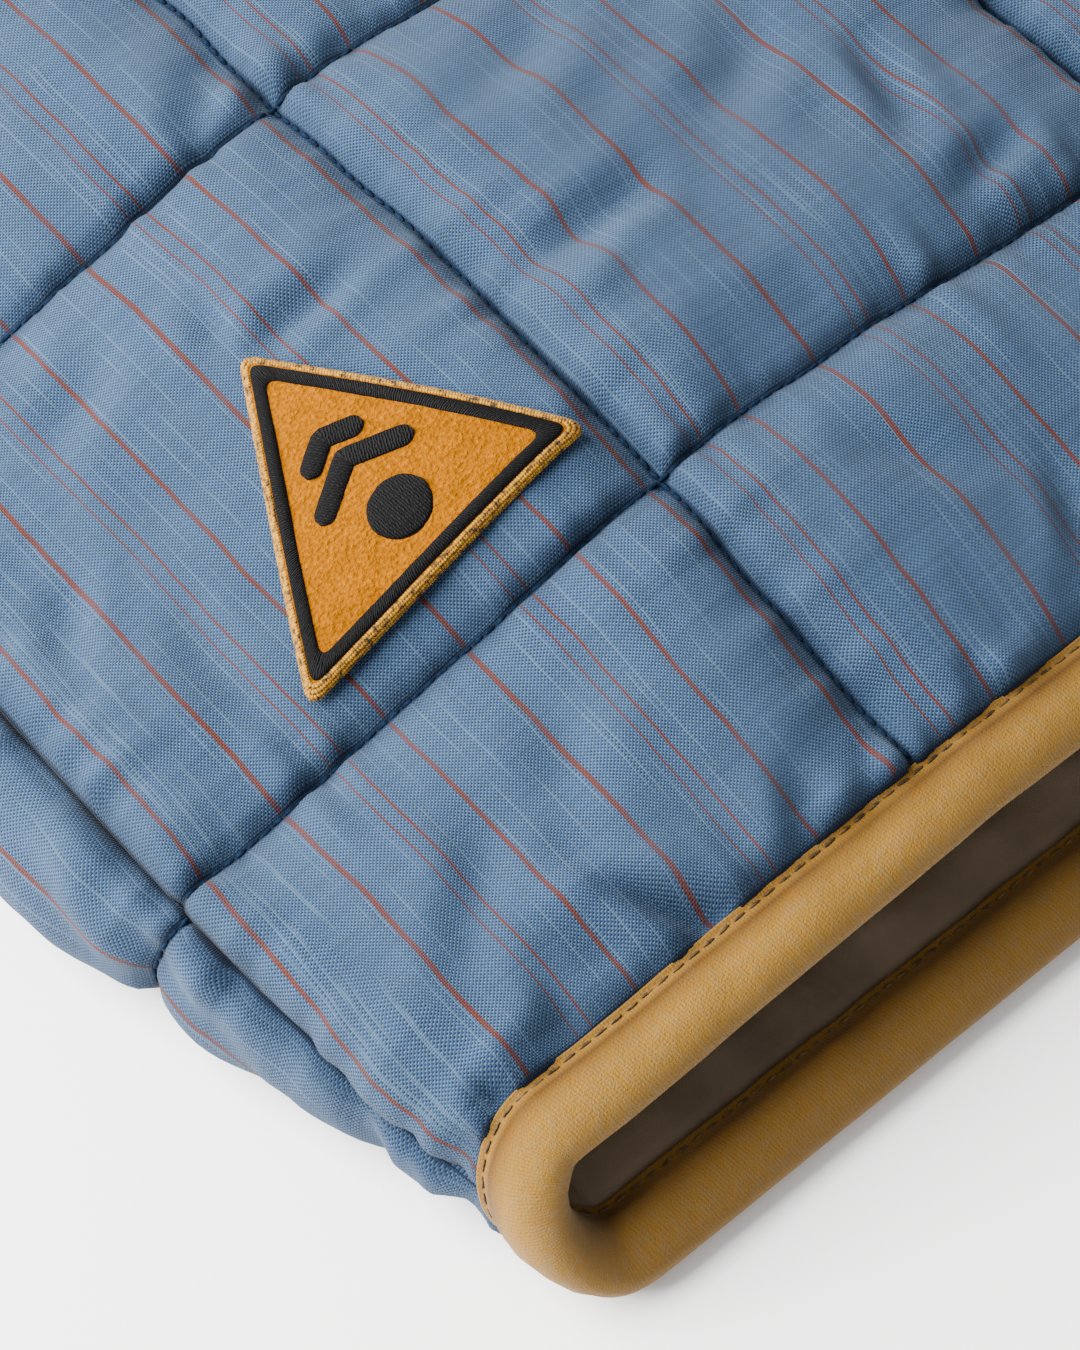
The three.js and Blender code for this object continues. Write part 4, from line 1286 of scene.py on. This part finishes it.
def tape_rings(c, y, turn, trim, seed, ends=True, **path):
    """Rings of points round the tape, outer outline then inner, and the map on them."""
    spots, normals, off = tape_path(c, y, turn, **path)
    gaps = np.linalg.norm(np.diff(spots, axis=0), axis=1)
    along = np.concatenate([[0], np.cumsum(gaps)])[:, None]
    depth, level = tape_outline(trim.lip / MM)
    lip, low = (face[:, None] for face in tape_faces(c, y))
    pinch = np.ones_like(along)
    if ends:
        reach = np.minimum(along, along[-1] - along) if not path.get("is_mirrored") else along
        pinch = np.sqrt(np.clip(1 - (1 - np.clip(reach / 3.0, 0, 1)) ** 2, 0.06, 1))
    crown = np.interp(depth, CROWN_DEPTH, CROWN_RISE)
    stitch = np.exp(-(((depth - 0.4) / 1.1) ** 2))
    tugs = -0.16 * stitch * np.abs(np.sin(math.pi * along / (trim.stitch / MM)))
    ripple = 0.26 * noise(along / 5.5, (depth + 12 * level) / 5, seed)
    ripple = ripple + 0.12 * noise(along / 2.4, depth / 3, seed + 1)
    rise = crown + tugs + ripple * (0.35 + 0.65 * smoothstep(depth, -1.0, 2.5))
    wave = np.where(depth < 0, 1 + 0.3 * noise(along / 6.0, 3.5 + 9 * level, seed + 2), 1)
    wander = 0.18 * noise(along / 9, 0.5, seed + 3)

    def outline(inset):
        side = np.where(level > 0.5, 1, -1) * np.where((level > 0) & (level < 1), np.abs(2 * level - 1), 1)
        top = lerp(low, lip, level) + side * rise
        middle = (lip + low) / 2
        height = middle + (top - side * inset - middle) * pinch
        nose = inset * np.sqrt(np.clip(1 - (2 * level - 1) ** 2, 0, 1))
        width = depth * wave + wander - nose
        return spots[:, None] + off[:, None] * width[..., None] + normals[:, None] * height[..., None]

    outer, inner = outline(0.0), outline(TAPE_THICK)
    outer[..., 2] = np.maximum(outer[..., 2], 0)
    rings = np.concatenate([outer, inner[:, ::-1]], 1)
    steps_round = np.linalg.norm(np.diff(outer[len(outer) // 2], axis=0), axis=1)
    round_mm = np.concatenate([[0], np.cumsum(steps_round)])
    round_mm = round_mm * TAPE_ROUND / round_mm[-1]
    across = np.concatenate([round_mm, round_mm[::-1]])
    plan = np.stack(np.broadcast_arrays(along, across[None]), -1)
    return rings, plan


def tube_object(name, rings, plan, is_loop):
    """A tube through the rings, closed on itself or by a cap at each end."""
    count, around = rings.shape[:2]
    points = rings.reshape(-1, 3)
    if is_loop:
        quads = loop_quads(count, around)
    else:
        quads = grid_quads(count, around, is_loop=True)
        half = around // 2
        for start, turned in ((0, True), ((count - 1) * around, False)):
            near = start + np.arange(half - 1)
            far_side = start + around - 1 - np.arange(half - 1)
            cap = np.stack([near, near + 1, far_side - 1, far_side], 1)
            quads = np.concatenate([quads, cap[:, ::-1] if turned else cap])
    return mesh_object(name, points, quads, plan.reshape(-1, 2))


def hem_line(near=1.5, far=3.2):
    """Cloth coordinates along the right half of the hem, from the front edge to the centre back."""
    start, stop = HEM_NEAR_C
    end = float(under_c(0, HEM_BACK_Y))
    c = joined(steps(EDGE_C, start, far), steps(start, stop, near), steps(stop, end, far))
    return c, hem_y(c)


def front_edge_line(short=0.0, spacing=3.0):
    """Up the front edge, stopping short of both ends of its tape."""
    y = steps(HEM_FRONT_Y - BIND_WIDTH + short, NECK_FOOT + BIND_WIDTH - short, spacing)
    return np.full_like(y, EDGE_C), y


def neck_line(spacing=2.6):
    """Along the right half of the neck, from the front edge to the centre back."""
    turn = steps(0, math.pi / 2, spacing / NECK_HALF)
    x, y = NECK_HALF * np.sin(turn), NECK_TOP - FRONT_NECK_DEPTH * np.cos(turn)
    keep = x > FRONT_EDGE_X + 1.2
    x, y = x[keep], y[keep]
    start_x = np.array([FRONT_EDGE_X + 0.7])
    x, y = np.concatenate([start_x, x]), np.concatenate([[NECK_FOOT], y])
    back_x = (NECK_HALF * np.cos(turn))[1:]
    back_y = back_neck_y(back_x)
    front_c, back_c = SEAM_X - x, under_c(back_x, back_y)
    return np.concatenate([front_c, back_c]), np.concatenate([y, back_y])


def armhole_line(spacing=2.8):
    """The loop up the front's armhole and down the back's."""
    turn = steps(0, math.pi / 2, spacing / 80)
    low = ARMHOLE_Y + ARMHOLE_RISE * (1 - np.cos(turn))
    top_x = ARMHOLE_FRONT_X
    for _ in range(SETTLE):
        top_x = float(armhole_front_x(shoulder_top(top_x)))
    y = joined(low, steps(low[-1], float(shoulder_top(top_x)), spacing))
    front_c = SEAM_X - armhole_front_x(y)
    back_x = ARMHOLE_BACK_X
    for _ in range(SETTLE):
        top_y = float(shoulder_top(back_x))
        back_x = float(armhole_back_c(top_y) - under_c(0, top_y))
    back_y = joined(low, steps(low[-1], float(shoulder_top(back_x)), spacing))[::-1][1:-1]
    return np.concatenate([front_c, armhole_back_c(back_y)]), np.concatenate([y, back_y])


def make_tape(name, node, material, rings, plan, is_loop=False):
    item = tube_object(name, rings, plan, is_loop)
    finish_piece(item, material, (node,))


def both_halves(rings, plan):
    """A mirrored run of rings: the right half, then its image back from the centre line."""
    whole = np.concatenate([rings, mirrored(rings)[-2::-1]])
    length = plan[-1, 0, 0]
    image = np.stack([2 * length - plan[..., 0], plan[..., 1]], -1)[-2::-1]
    return whole, np.concatenate([plan, image])


def make_tapes(trim, material):
    rings, plan = both_halves(*tape_rings(*hem_line(), -1, trim, 101, is_mirrored=True))
    make_tape("hem_tape", "hem_binding", material, rings, plan)
    rings, plan = both_halves(*tape_rings(*neck_line(), 1, trim, 111, is_mirrored=True))
    make_tape("neck_tape", "neck_binding", material, rings, plan)
    rings, plan = tape_rings(*armhole_line(), -1, trim, 121, ends=False, is_loop=True)
    for side, image in (("right", rings), ("left", mirrored(rings))):
        make_tape(f"armhole_tape_{side}", f"armhole_binding_{side}", material, image, plan, True)
    rings, plan = tape_rings(*front_edge_line(), 1, trim, 131)
    for side, image in (("right", rings), ("left", mirrored(rings))):
        make_tape(f"front_edge_tape_{side}", f"front_binding_{side}", material, image, plan)


# ---- stitches -----------------------------------------------------------------------------------

# How far a stitch's middle lies off the cloth, so that half of the thread shows in its ditch.
FRONT_STITCH_LIFT = 0.1
SIDE_STITCH_LIFT = 0.3
UNDER_STITCH_DEPTH = 0.3
STITCH_SLANT = 0.09  # the most that a stitch turns off its line, in radians
SEAM_STEP = 1.6  # spacing of the points on a line of stitches, and underneath
UNDER_STEP = 4.0
SEAM_CLEAR = 2.5  # stitches stop this far from a taped edge


def stitch_tree():
    """Geometry Nodes that lay one stitch after another along each line of the input mesh."""
    tree = bpy.data.node_groups.new("stitches_on_lines", "GeometryNodeTree")
    face = tree.interface
    face.new_socket("Geometry", in_out="INPUT", socket_type="NodeSocketGeometry")
    for name in ("Pitch", "Length", "Width", "Height", "Turn"):
        face.new_socket(name, in_out="INPUT", socket_type="NodeSocketFloat")
    face.new_socket("Seed", in_out="INPUT", socket_type="NodeSocketInt")
    face.new_socket("Thread", in_out="INPUT", socket_type="NodeSocketMaterial")
    face.new_socket("Geometry", in_out="OUTPUT", socket_type="NodeSocketGeometry")
    source = tree.nodes.new("NodeGroupInput").outputs

    def node(kind, values=(), **settings):
        return add_node(tree, kind, values, **settings).outputs

    lines = node("GeometryNodeMeshToCurve", {"Mesh": source["Geometry"]})
    spaced = node("GeometryNodeResampleCurve", {"Curve": lines[0], "Length": source["Pitch"]}, mode="LENGTH")

    # each stitch lies along its line, with a little slant of its own
    tangent = node("GeometryNodeInputTangent")
    aligned = node("FunctionNodeAlignRotationToVector", {"Vector": tangent[0]}, axis="X")
    slant = {2: -STITCH_SLANT, 3: STITCH_SLANT, "Seed": source["Seed"]}
    chance = node("FunctionNodeRandomValue", slant, data_type="FLOAT")
    turned = node("ShaderNodeMath", {0: source["Turn"], 1: chance[1]})
    angles = node("ShaderNodeCombineXYZ", {"Z": turned[0]})
    rotations = {"Rotation": aligned[0], "Rotate By": angles[0]}
    slanted = node("FunctionNodeRotateRotation", rotations, rotation_space="LOCAL")

    # a stitch is a stretched sphere with its poles along the line
    grain = node("GeometryNodeMeshUVSphere", {"Segments": 6, "Rings": 4, "Radius": 0.5})
    along = node("GeometryNodeTransform", {"Geometry": grain["Mesh"], "Rotation": (0, math.pi / 2, 0)})
    size = node("ShaderNodeCombineXYZ", {0: source["Length"], 1: source["Width"], 2: source["Height"]})
    places = {"Points": spaced[0], "Instance": along[0], "Rotation": slanted[0], "Scale": size[0]}
    laid = node("GeometryNodeInstanceOnPoints", places)
    real = node("GeometryNodeRealizeInstances", {0: laid[0]})
    smooth = node("GeometryNodeSetShadeSmooth", {0: real[0]})
    coloured = node("GeometryNodeSetMaterial", {"Geometry": smooth[0], "Material": source["Thread"]})
    add_node(tree, "NodeGroupOutput", {0: coloured[0]})
    return tree


def stitched(name, lines, material, **sizes):
    """A plain mesh of stitches along lines of points in millimetres."""
    tree = bpy.data.node_groups.get("stitches_on_lines") or stitch_tree()
    points = np.concatenate(lines) * MM
    starts = np.cumsum([0, *(len(line) for line in lines)])
    edges = [(k, k + 1) for a, b in zip(starts, starts[1:]) for k in range(a, b - 1)]
    mesh = bpy.data.meshes.new(f"{name}_lines")
    mesh.from_pydata(points.tolist(), edges, [])
    item = bpy.data.objects.new(name, mesh)
    bpy.context.scene.collection.objects.link(item)
    modifier = item.modifiers.new("stitches", "NODES")
    modifier.node_group = tree
    sizes["Thread"] = material
    for socket in tree.interface.items_tree:
        if socket.in_out == "INPUT" and socket.name in sizes:
            modifier[socket.identifier] = sizes[socket.name]
    ready = item.evaluated_get(bpy.context.evaluated_depsgraph_get())
    made = bpy.data.meshes.new_from_object(ready)
    item.modifiers.clear()
    item.data = made
    made.name = name
    bpy.data.meshes.remove(mesh)
    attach(item, BODY)
    return item


def front_seams(quilting, side):
    """Lines of the quilting stitches on one front."""
    lines = []
    for k, line in enumerate(CHANNELS_X):
        y = steps(HEM_FRONT_Y + SEAM_CLEAR, float(shoulder_top(line)) - 3, SEAM_STEP)
        c = SEAM_X - line - channel_wander(y + 40 * k)
        keep = front_curve_gap(SEAM_X - c, y) > SEAM_CLEAR
        lines.append((c[keep], y[keep]))
    for k in range(QUILT_ROWS):
        c = steps(1.0, EDGE_C - SEAM_CLEAR, SEAM_STEP)
        y = QUILT_FIRST_Y + k * QUILT_PITCH + row_wander(c)
        keep = (front_curve_gap(SEAM_X - c, y) > SEAM_CLEAR) & (SEAM_X - c < armhole_front_x(y) - SEAM_CLEAR)
        lines.append((c[keep], y[keep]))
    lines = [(c, y) for c, y in lines if len(c) > 2]
    points = [on_cloth(c, y, front_relief(c, y, quilting, -side) + FRONT_STITCH_LIFT) for c, y in lines]
    return [mirrored(line) if side > 0 else line for line in points]


def back_seams(quilting):
    """The crosswise lines go on round the side fold, and all lines go on underneath."""
    round_side, under = [], []
    for k in range(QUILT_ROWS):
        level = QUILT_FIRST_Y + QUILT_BACK_SHIFT + k * QUILT_PITCH
        c = steps(-1.0, -FOLD_LENGTH, SEAM_STEP)
        y = level + row_wander(c)
        keep = (y < ARMHOLE_Y) | (c < armhole_back_c(y) - SEAM_CLEAR)
        if keep.sum() > 2:
            line = on_cloth(c[keep], y[keep], back_relief(c[keep], y[keep], quilting) + SIDE_STITCH_LIFT)
            round_side += [line, mirrored(line)]
        start = min(-FOLD_LENGTH, float(armhole_back_c(level)) - 3) if level > ARMHOLE_Y else -FOLD_LENGTH
        c = steps(start, float(under_c(0, level)), UNDER_STEP)
        y = level + row_wander(c)
        line = on_cloth(c, y, back_relief(c, y, quilting) - UNDER_STITCH_DEPTH)
        under += [line, mirrored(line)]
    for x in CHANNELS_X:
        y = steps(HEM_BACK_Y + 3, float(back_top(np.array(x))) - 24, UNDER_STEP)
        c = under_c(x, y)
        line = on_cloth(c, y, back_relief(c, y, quilting) - UNDER_STITCH_DEPTH)
        under += [line, mirrored(line)]
    return round_side, under


def tape_seams():
    """Lines of the stitching along both lips of every tape."""
    lines = []

    def add(c, y, turn, **path):
        spots, normals, off = tape_path(c, y, turn, **path)
        top, low = tape_faces(c, y)
        for height in (top - TAPE_STITCH_DEPTH, low + TAPE_STITCH_DEPTH):
            line = spots + off * 0.3 + normals * height[:, None]
            lines.extend([line, mirrored(line)])

    add(*hem_line(), -1, is_mirrored=True)
    add(*neck_line(), 1, is_mirrored=True)
    add(*armhole_line(), -1, is_loop=True)
    add(*front_edge_line(short=3.0), 1)
    return lines


def make_stitches(quilting, cloth, trim):
    navy = quilting_cotton(cloth.thread)
    stitch = quilting.stitch
    size = dict(Pitch=stitch * 1.22, Length=stitch * 1.12, Width=0.00075, Height=0.0007)
    round_side, under = back_seams(quilting)
    lines = [*front_seams(quilting, -1), *front_seams(quilting, 1), *round_side]
    stitched("quilting_stitches", lines, navy, **size, Seed=3)
    size = dict(Pitch=stitch * 2.4, Length=stitch * 2, Width=0.0005, Height=0.0004)
    stitched("quilting_stitches_under", under, navy, **size, Seed=4)
    gold = tape_cotton(trim)
    size = dict(Pitch=trim.stitch, Length=trim.stitch * 0.8, Width=0.0005, Height=0.00042)
    stitched("tape_stitches", tape_seams(), gold, **size, Seed=6)


# ---- patch --------------------------------------------------------------------------------------

PATCH_CORNER = 2.4  # distance from a corner at which it starts to round
PATCH_LIFT = 0.7  # the felt's foot, above the smooth puff
PATCH_THICK = 1.7
BORDER_INSET = (0.95, 2.85)  # the black border's edges, in from the patch's edge
STITCH_ROUND = 12  # points round a raised line of satin stitches
# Each chevron's height above the patch's middle and its reach to either side.
CHEVRONS = ((1.4, 8.2), (7.6, 5.0))
CHEVRON_RISE = 0.55  # height of its tip as a part of its reach
CHEVRON_WIDTH = 3.2
DISC_DROP = 4.6  # the disc's middle, below the patch's
DISC_WIDTH = 8.8
# Rows of the wrapped edge: inset from the patch's edge and lift above its foot.
OVERLOCK_ROWS = ((0.6, 1.5), (0.25, 1.3), (0.0, 0.85), (-0.08, 0.35))


def patch_corners():
    return [np.array(corner) for corner in PATCH_CORNERS]


def patch_middle():
    """The middle of the circle that fits in the triangle, and its radius."""
    a, b, c = patch_corners()
    sides = [np.linalg.norm(b - c), np.linalg.norm(c - a), np.linalg.norm(a - b)]
    middle = (sides[0] * a + sides[1] * b + sides[2] * c) / sum(sides)
    (ax, ay), (bx, by) = b - a, c - a
    return middle, abs(ax * by - ay * bx) / sum(sides)


def patch_outline(count=66):
    """The triangle's outline, with rounded corners."""
    corners = patch_corners()
    outline = []
    for k in range(3):
        corner, before, after = corners[k], corners[k - 1], corners[(k + 1) % 3]
        start = corner + unit(before - corner) * PATCH_CORNER
        end = corner + unit(after - corner) * PATCH_CORNER
        t = np.linspace(0, 1, 9)[:, None]
        outline.append((1 - t) ** 2 * start + 2 * t * (1 - t) * corner + t * t * end)
        following = after + unit(corner - after) * PATCH_CORNER
        outline.append(lerp(end, following, np.linspace(0, 1, count)[1:-1, None]))
    return np.concatenate(outline)


def on_patch(xy, lift, quilting):
    """Points over the right front at x, y, raised over its smooth puff."""
    c, y = SEAM_X + xy[..., 0], xy[..., 1]
    x = SEAM_X - c
    gaps = np.minimum(np.abs(x - CHANNELS_X[0]), np.abs(row_gap(c, y, 0)))
    puff = quilting.puff / MM * swell(np.minimum(gaps + 1.5, SEAM_X - x))
    return on_cloth(c, y, puff + lift)


def inset_ring(inset, outline):
    middle, radius = patch_middle()
    return middle + (outline - middle) * (1 - inset / radius)


def make_patch(quilting, trim):
    outline = patch_outline()
    count = len(outline)
    middle, radius = patch_middle()
    gaps = np.linalg.norm(np.roll(outline, -1, 0) - outline, axis=1)
    along = np.concatenate([[0], np.cumsum(gaps)[:-1]])

    # felt: a rounded rim and a nearly flat top, closed to a middle point above and below
    insets = np.concatenate([[0.5, 0.15, 0.0, 0.1, 0.4, 0.9], steps(1.6, radius * 0.985, 0.8)])
    lifts = np.concatenate([[-0.5, -0.2, 0.5, 1.1, 1.5, 1.65], np.full(len(insets) - 6, PATCH_THICK)])
    rings = np.array([inset_ring(inset, outline) for inset in insets])
    x, y = rings[..., 0], rings[..., 1]
    fluff = 0.05 * noise(x * 1.3, y * 1.3, 201) + 0.14 * noise(x / 7, y / 7, 202)
    points = on_patch(rings, PATCH_LIFT + lifts[:, None] + fluff, quilting)
    quads = grid_quads(len(insets), count, is_loop=True)
    first, last = points[0].mean(0), points[-1].mean(0)
    flat = np.concatenate([points.reshape(-1, 3), [first - [0, 0, 0.2], last]])
    plan = np.concatenate([rings.reshape(-1, 2), [middle, middle]])
    quads = np.concatenate([quads, *fans(count, len(insets))])
    felt = mesh_object("patch_felt", flat, quads, plan)
    finish_piece(felt, patch_felt(trim), ("patch",))

    # black border: a raised ring of satin stitches
    low, high = BORDER_INSET
    turn = np.linspace(0, 2 * math.pi, STITCH_ROUND, endpoint=False)
    across = (low + high) / 2 - (high - low) / 2 * np.cos(turn)
    lift = PATCH_LIFT + PATCH_THICK + np.maximum(-0.25, 0.62 * np.sin(turn))
    rings = np.array([inset_ring(inset, outline) for inset in across])
    rough = 0.07 * noise(along[None] / 0.7, across[:, None], 203)
    points = on_patch(rings, lift[:, None] + rough, quilting)
    plan = np.stack(np.broadcast_arrays(along[None], across[:, None]), -1)
    black = satin_stitch()
    quads = loop_quads(STITCH_ROUND, count)
    border_ring = mesh_object("patch_border", points.reshape(-1, 3), quads, plan.reshape(-1, 2))
    finish_piece(border_ring, black, ())
    make_motif(quilting, black)
    make_overlock(quilting, outline)


def fans(count, rings):
    """Four-sided faces that close the first and the last ring to a middle point, two sides at a time."""
    closing = []
    for ring, pole, turned in ((0, rings * count, True), (rings - 1, rings * count + 1, False)):
        near = ring * count + np.arange(0, count, 2)
        middle = ring * count + (np.arange(0, count, 2) + 1) % count
        far_side = ring * count + (np.arange(0, count, 2) + 2) % count
        fan = np.stack([near, middle, far_side, np.full(len(near), pole)], 1)
        closing.append(fan[:, ::-1] if turned else fan)
    return closing


def stroke(line, width, quilting, seed):
    """A raised bar of satin stitches along a line in plan, with round ends."""
    line = np.asarray(line, float)
    gaps = np.linalg.norm(np.diff(line, axis=0), axis=1)
    sums = np.concatenate([[0], np.cumsum(gaps)])
    at = steps(0, sums[-1], 0.45)
    middle = np.stack([np.interp(at, sums, line[:, k]) for k in range(2)], 1)
    ahead = unit(np.gradient(middle, axis=0))
    aside = np.stack([-ahead[:, 1], ahead[:, 0]], 1)
    reach = np.minimum(at, sums[-1] - at)
    half = width / 2 * np.sqrt(np.clip(1 - (1 - np.clip(reach / (width / 2), 0, 1)) ** 2, 0.02, 1))
    turn = np.linspace(0, 2 * math.pi, STITCH_ROUND, endpoint=False)
    plan_points = middle[:, None] + aside[:, None] * (half[:, None] * np.cos(turn))[..., None]
    lift = PATCH_LIFT + PATCH_THICK + np.maximum(-0.25, 0.6 * np.sin(turn))
    rough = 0.06 * noise(at[:, None] / 0.7, np.cos(turn)[None], seed)
    points = on_patch(plan_points, lift[None] + rough, quilting)
    plan = np.stack(np.broadcast_arrays(at[:, None], (half[:, None] * np.cos(turn))), -1)
    return points, plan


def make_motif(quilting, material):
    """A plain disc under two chevrons, in black satin stitch."""
    _, left_corner, right_corner = patch_corners()
    base = unit(right_corner - left_corner)
    up = np.array([-base[1], base[0]])
    middle, _ = patch_middle()
    pieces = []
    for rise, reach in CHEVRONS:
        tip = middle + up * (rise + reach * CHEVRON_RISE)
        left, right = middle + up * rise - base * reach, middle + up * rise + base * reach
        pieces.append(stroke([left, tip, right], CHEVRON_WIDTH, quilting, 211))
    centre = middle - up * DISC_DROP
    disc = [centre - base * (DISC_WIDTH / 2), centre + base * (DISC_WIDTH / 2)]
    pieces.append(stroke(disc, DISC_WIDTH, quilting, 213))
    points, quads, plans, start = [], [], [], 0
    for rings, plan in pieces:
        count, around = rings.shape[:2]
        faces = grid_quads(count, around, start, is_loop=True)
        half = around // 2
        for first in (start, start + (count - 1) * around):
            near = first + np.arange(half - 1)
            far_side = first + (around - np.arange(half - 1)) % around
            next_far = first + (around - 1 - np.arange(half - 1)) % around
            cap = np.stack([near, near + 1, next_far, far_side], 1)[1:]
            quads.append(cap if first == start else cap[:, ::-1])
        quads.append(faces)
        points.append(rings.reshape(-1, 3))
        plans.append(plan.reshape(-1, 2))
        start += count * around
    item = mesh_object("patch_motif", np.concatenate(points), np.concatenate(quads), np.concatenate(plans))
    finish_piece(item, material, ())


def make_overlock(quilting, outline):
    """Gold thread wrapped over the patch's edge."""
    lines = []
    for inset, lift in OVERLOCK_ROWS:
        ring = np.concatenate([inset_ring(inset, outline), inset_ring(inset, outline)[:1]])
        lines.append(on_patch(ring, np.full(len(ring), PATCH_LIFT + lift), quilting))
    size = dict(Pitch=0.00042, Length=0.0006, Width=0.0009, Height=0.0007, Turn=0.5)
    item = stitched("patch_overlock", lines, overlock_cotton(), **size, Seed=8)


# ---- stage --------------------------------------------------------------------------------------

LOOK_AT = (-199.8, -262.3, 34.0)  # the hem corner
FLOOR_HALF = 3000.0
FLOOR_GAP = 0.05  # keeps the floor's face just clear of the cloth's
# Name, place and width in metres, power and colour.
LIGHTS = (("key", (-0.68, 0.14, 0.5), 0.9, 56.0, (1.0, 0.985, 0.96)),)
WORLD_STRENGTH = 0.87


def make_floor(colour):
    grid = steps(-FLOOR_HALF, FLOOR_HALF, FLOOR_HALF / 4)
    x, y = np.meshgrid(grid, grid, indexing="ij")
    flat = np.stack([x, y, np.full_like(x, -FLOOR_GAP)], -1)
    mesh = bpy.data.meshes.new("pale_floor")
    quads = grid_quads(len(grid), len(grid))
    mesh.from_pydata((flat.reshape(-1, 3) * MM).tolist(), [], quads.tolist())
    item = bpy.data.objects.new("pale_floor", mesh)
    bpy.context.scene.collection.objects.link(item)
    mesh.materials.append(plain_floor(colour))


def make_lights():
    for name, spot, width, power, colour in LIGHTS:
        data = bpy.data.lights.new(name, "AREA")
        data.shape, data.size, data.energy, data.color = "DISK", width, power, colour
        item = bpy.data.objects.new(name, data)
        item.location = spot
        aim = Vector(LOOK_AT) * MM - Vector(spot)
        item.rotation_euler = aim.to_track_quat("-Z", "Y").to_euler()
        bpy.context.scene.collection.objects.link(item)
    world = bpy.data.worlds.new("soft_room")
    world.use_nodes = True
    back = world.node_tree.nodes["Background"]
    back.inputs["Color"].default_value = (0.95, 0.97, 1.0, 1)
    back.inputs["Strength"].default_value = WORLD_STRENGTH
    bpy.context.scene.world = world


def make_camera(stage):
    ahead = Vector(
        (
            math.sin(stage.heading) * math.cos(stage.pitch),
            math.cos(stage.heading) * math.cos(stage.pitch),
            -math.sin(stage.pitch),
        )
    )
    right = ahead.cross(Vector((0, 0, 1))).normalized()
    up = right.cross(ahead)
    turn = Matrix((right, up, -ahead)).transposed() @ Matrix.Rotation(stage.roll, 3, "Z")
    data = bpy.data.cameras.new("hem_corner")
    data.lens, data.sensor_width, data.sensor_fit = stage.lens, 36.0, "AUTO"
    item = bpy.data.objects.new("hem_corner", data)
    place_at = Vector(LOOK_AT) * MM - ahead * stage.distance
    item.matrix_world = Matrix.Translation(place_at) @ turn.to_4x4()
    bpy.context.scene.collection.objects.link(item)
    bpy.context.scene.camera = item


# ---- operators ----------------------------------------------------------------------------------


def cloth_material(cloth):
    return bpy.data.materials.get("chambray") or chambray(cloth)


class VEST_OT_stage(bpy.types.Operator):
    """Make the floor, the lights and the camera"""

    bl_idname = "vest.stage"
    bl_label = "Stage"

    def execute(self, context):
        stage = context.scene.vest_stage
        make_floor(stage.floor)
        make_lights()
        make_camera(stage)
        return {"FINISHED"}


class VEST_OT_fronts(bpy.types.Operator):
    """Make the two quilted fronts"""

    bl_idname = "vest.fronts"
    bl_label = "Quilted fronts"

    def execute(self, context):
        scene = context.scene
        for side in (-1, 1):
            make_front(side, scene.vest_quilting, cloth_material(scene.vest_cloth))
        return {"FINISHED"}


class VEST_OT_back(bpy.types.Operator):
    """Make the quilted back"""

    bl_idname = "vest.back"
    bl_label = "Quilted back"

    def execute(self, context):
        scene = context.scene
        make_back(scene.vest_quilting, cloth_material(scene.vest_cloth))
        return {"FINISHED"}


class VEST_OT_linings(bpy.types.Operator):
    """Make the lining of the back and the fronts"""

    bl_idname = "vest.linings"
    bl_label = "Linings"

    def execute(self, context):
        make_linings(lining_nylon(context.scene.vest_trim))
        return {"FINISHED"}


class VEST_OT_tapes(bpy.types.Operator):
    """Make the rolled tape round every edge"""

    bl_idname = "vest.tapes"
    bl_label = "Edge tape"

    def execute(self, context):
        trim = context.scene.vest_trim
        make_tapes(trim, brushed_tape(trim))
        return {"FINISHED"}


class VEST_OT_stitches(bpy.types.Operator):
    """Make the quilting stitches and the stitching along the tape"""

    bl_idname = "vest.stitches"
    bl_label = "Stitches"

    def execute(self, context):
        scene = context.scene
        make_stitches(scene.vest_quilting, scene.vest_cloth, scene.vest_trim)
        return {"FINISHED"}


class VEST_OT_patch(bpy.types.Operator):
    """Make the felt patch with its embroidery"""

    bl_idname = "vest.patch"
    bl_label = "Felt patch"

    def execute(self, context):
        make_patch(context.scene.vest_quilting, context.scene.vest_trim)
        return {"FINISHED"}


class VEST_PT_sidebar(bpy.types.Panel):
    """The vest's pieces and settings"""

    bl_idname = "VEST_PT_sidebar"
    bl_label = "Quilted Vest"
    bl_space_type = "VIEW_3D"
    bl_region_type = "UI"
    bl_category = "Vest"

    def draw(self, context):
        for name in GROUPS:
            group = getattr(context.scene, name)
            for setting in group.bl_rna.properties:
                if setting.identifier not in {"name", "rna_type"}:
                    self.layout.prop(group, setting.identifier)
        for operator in OPERATORS:
            self.layout.operator(operator.bl_idname)


GROUPS = {
    "vest_quilting": VestQuilting,
    "vest_cloth": VestCloth,
    "vest_trim": VestTrim,
    "vest_stage": VestStage,
}
OPERATORS = (
    VEST_OT_stage,
    VEST_OT_fronts,
    VEST_OT_back,
    VEST_OT_linings,
    VEST_OT_tapes,
    VEST_OT_stitches,
    VEST_OT_patch,
)


def register():
    for cls in (*GROUPS.values(), *OPERATORS, VEST_PT_sidebar):
        bpy.utils.register_class(cls)
    for name, cls in GROUPS.items():
        setattr(bpy.types.Scene, name, bpy.props.PointerProperty(type=cls))


def unregister():
    for name in GROUPS:
        delattr(bpy.types.Scene, name)
    for cls in reversed((*GROUPS.values(), *OPERATORS, VEST_PT_sidebar)):
        bpy.utils.unregister_class(cls)


def main():
    register()
    bpy.ops.vest.stage()
    bpy.ops.vest.fronts()
    bpy.ops.vest.back()
    bpy.ops.vest.linings()
    bpy.ops.vest.tapes()
    bpy.ops.vest.stitches()
    bpy.ops.vest.patch()


if __name__ == "__main__":
    main()
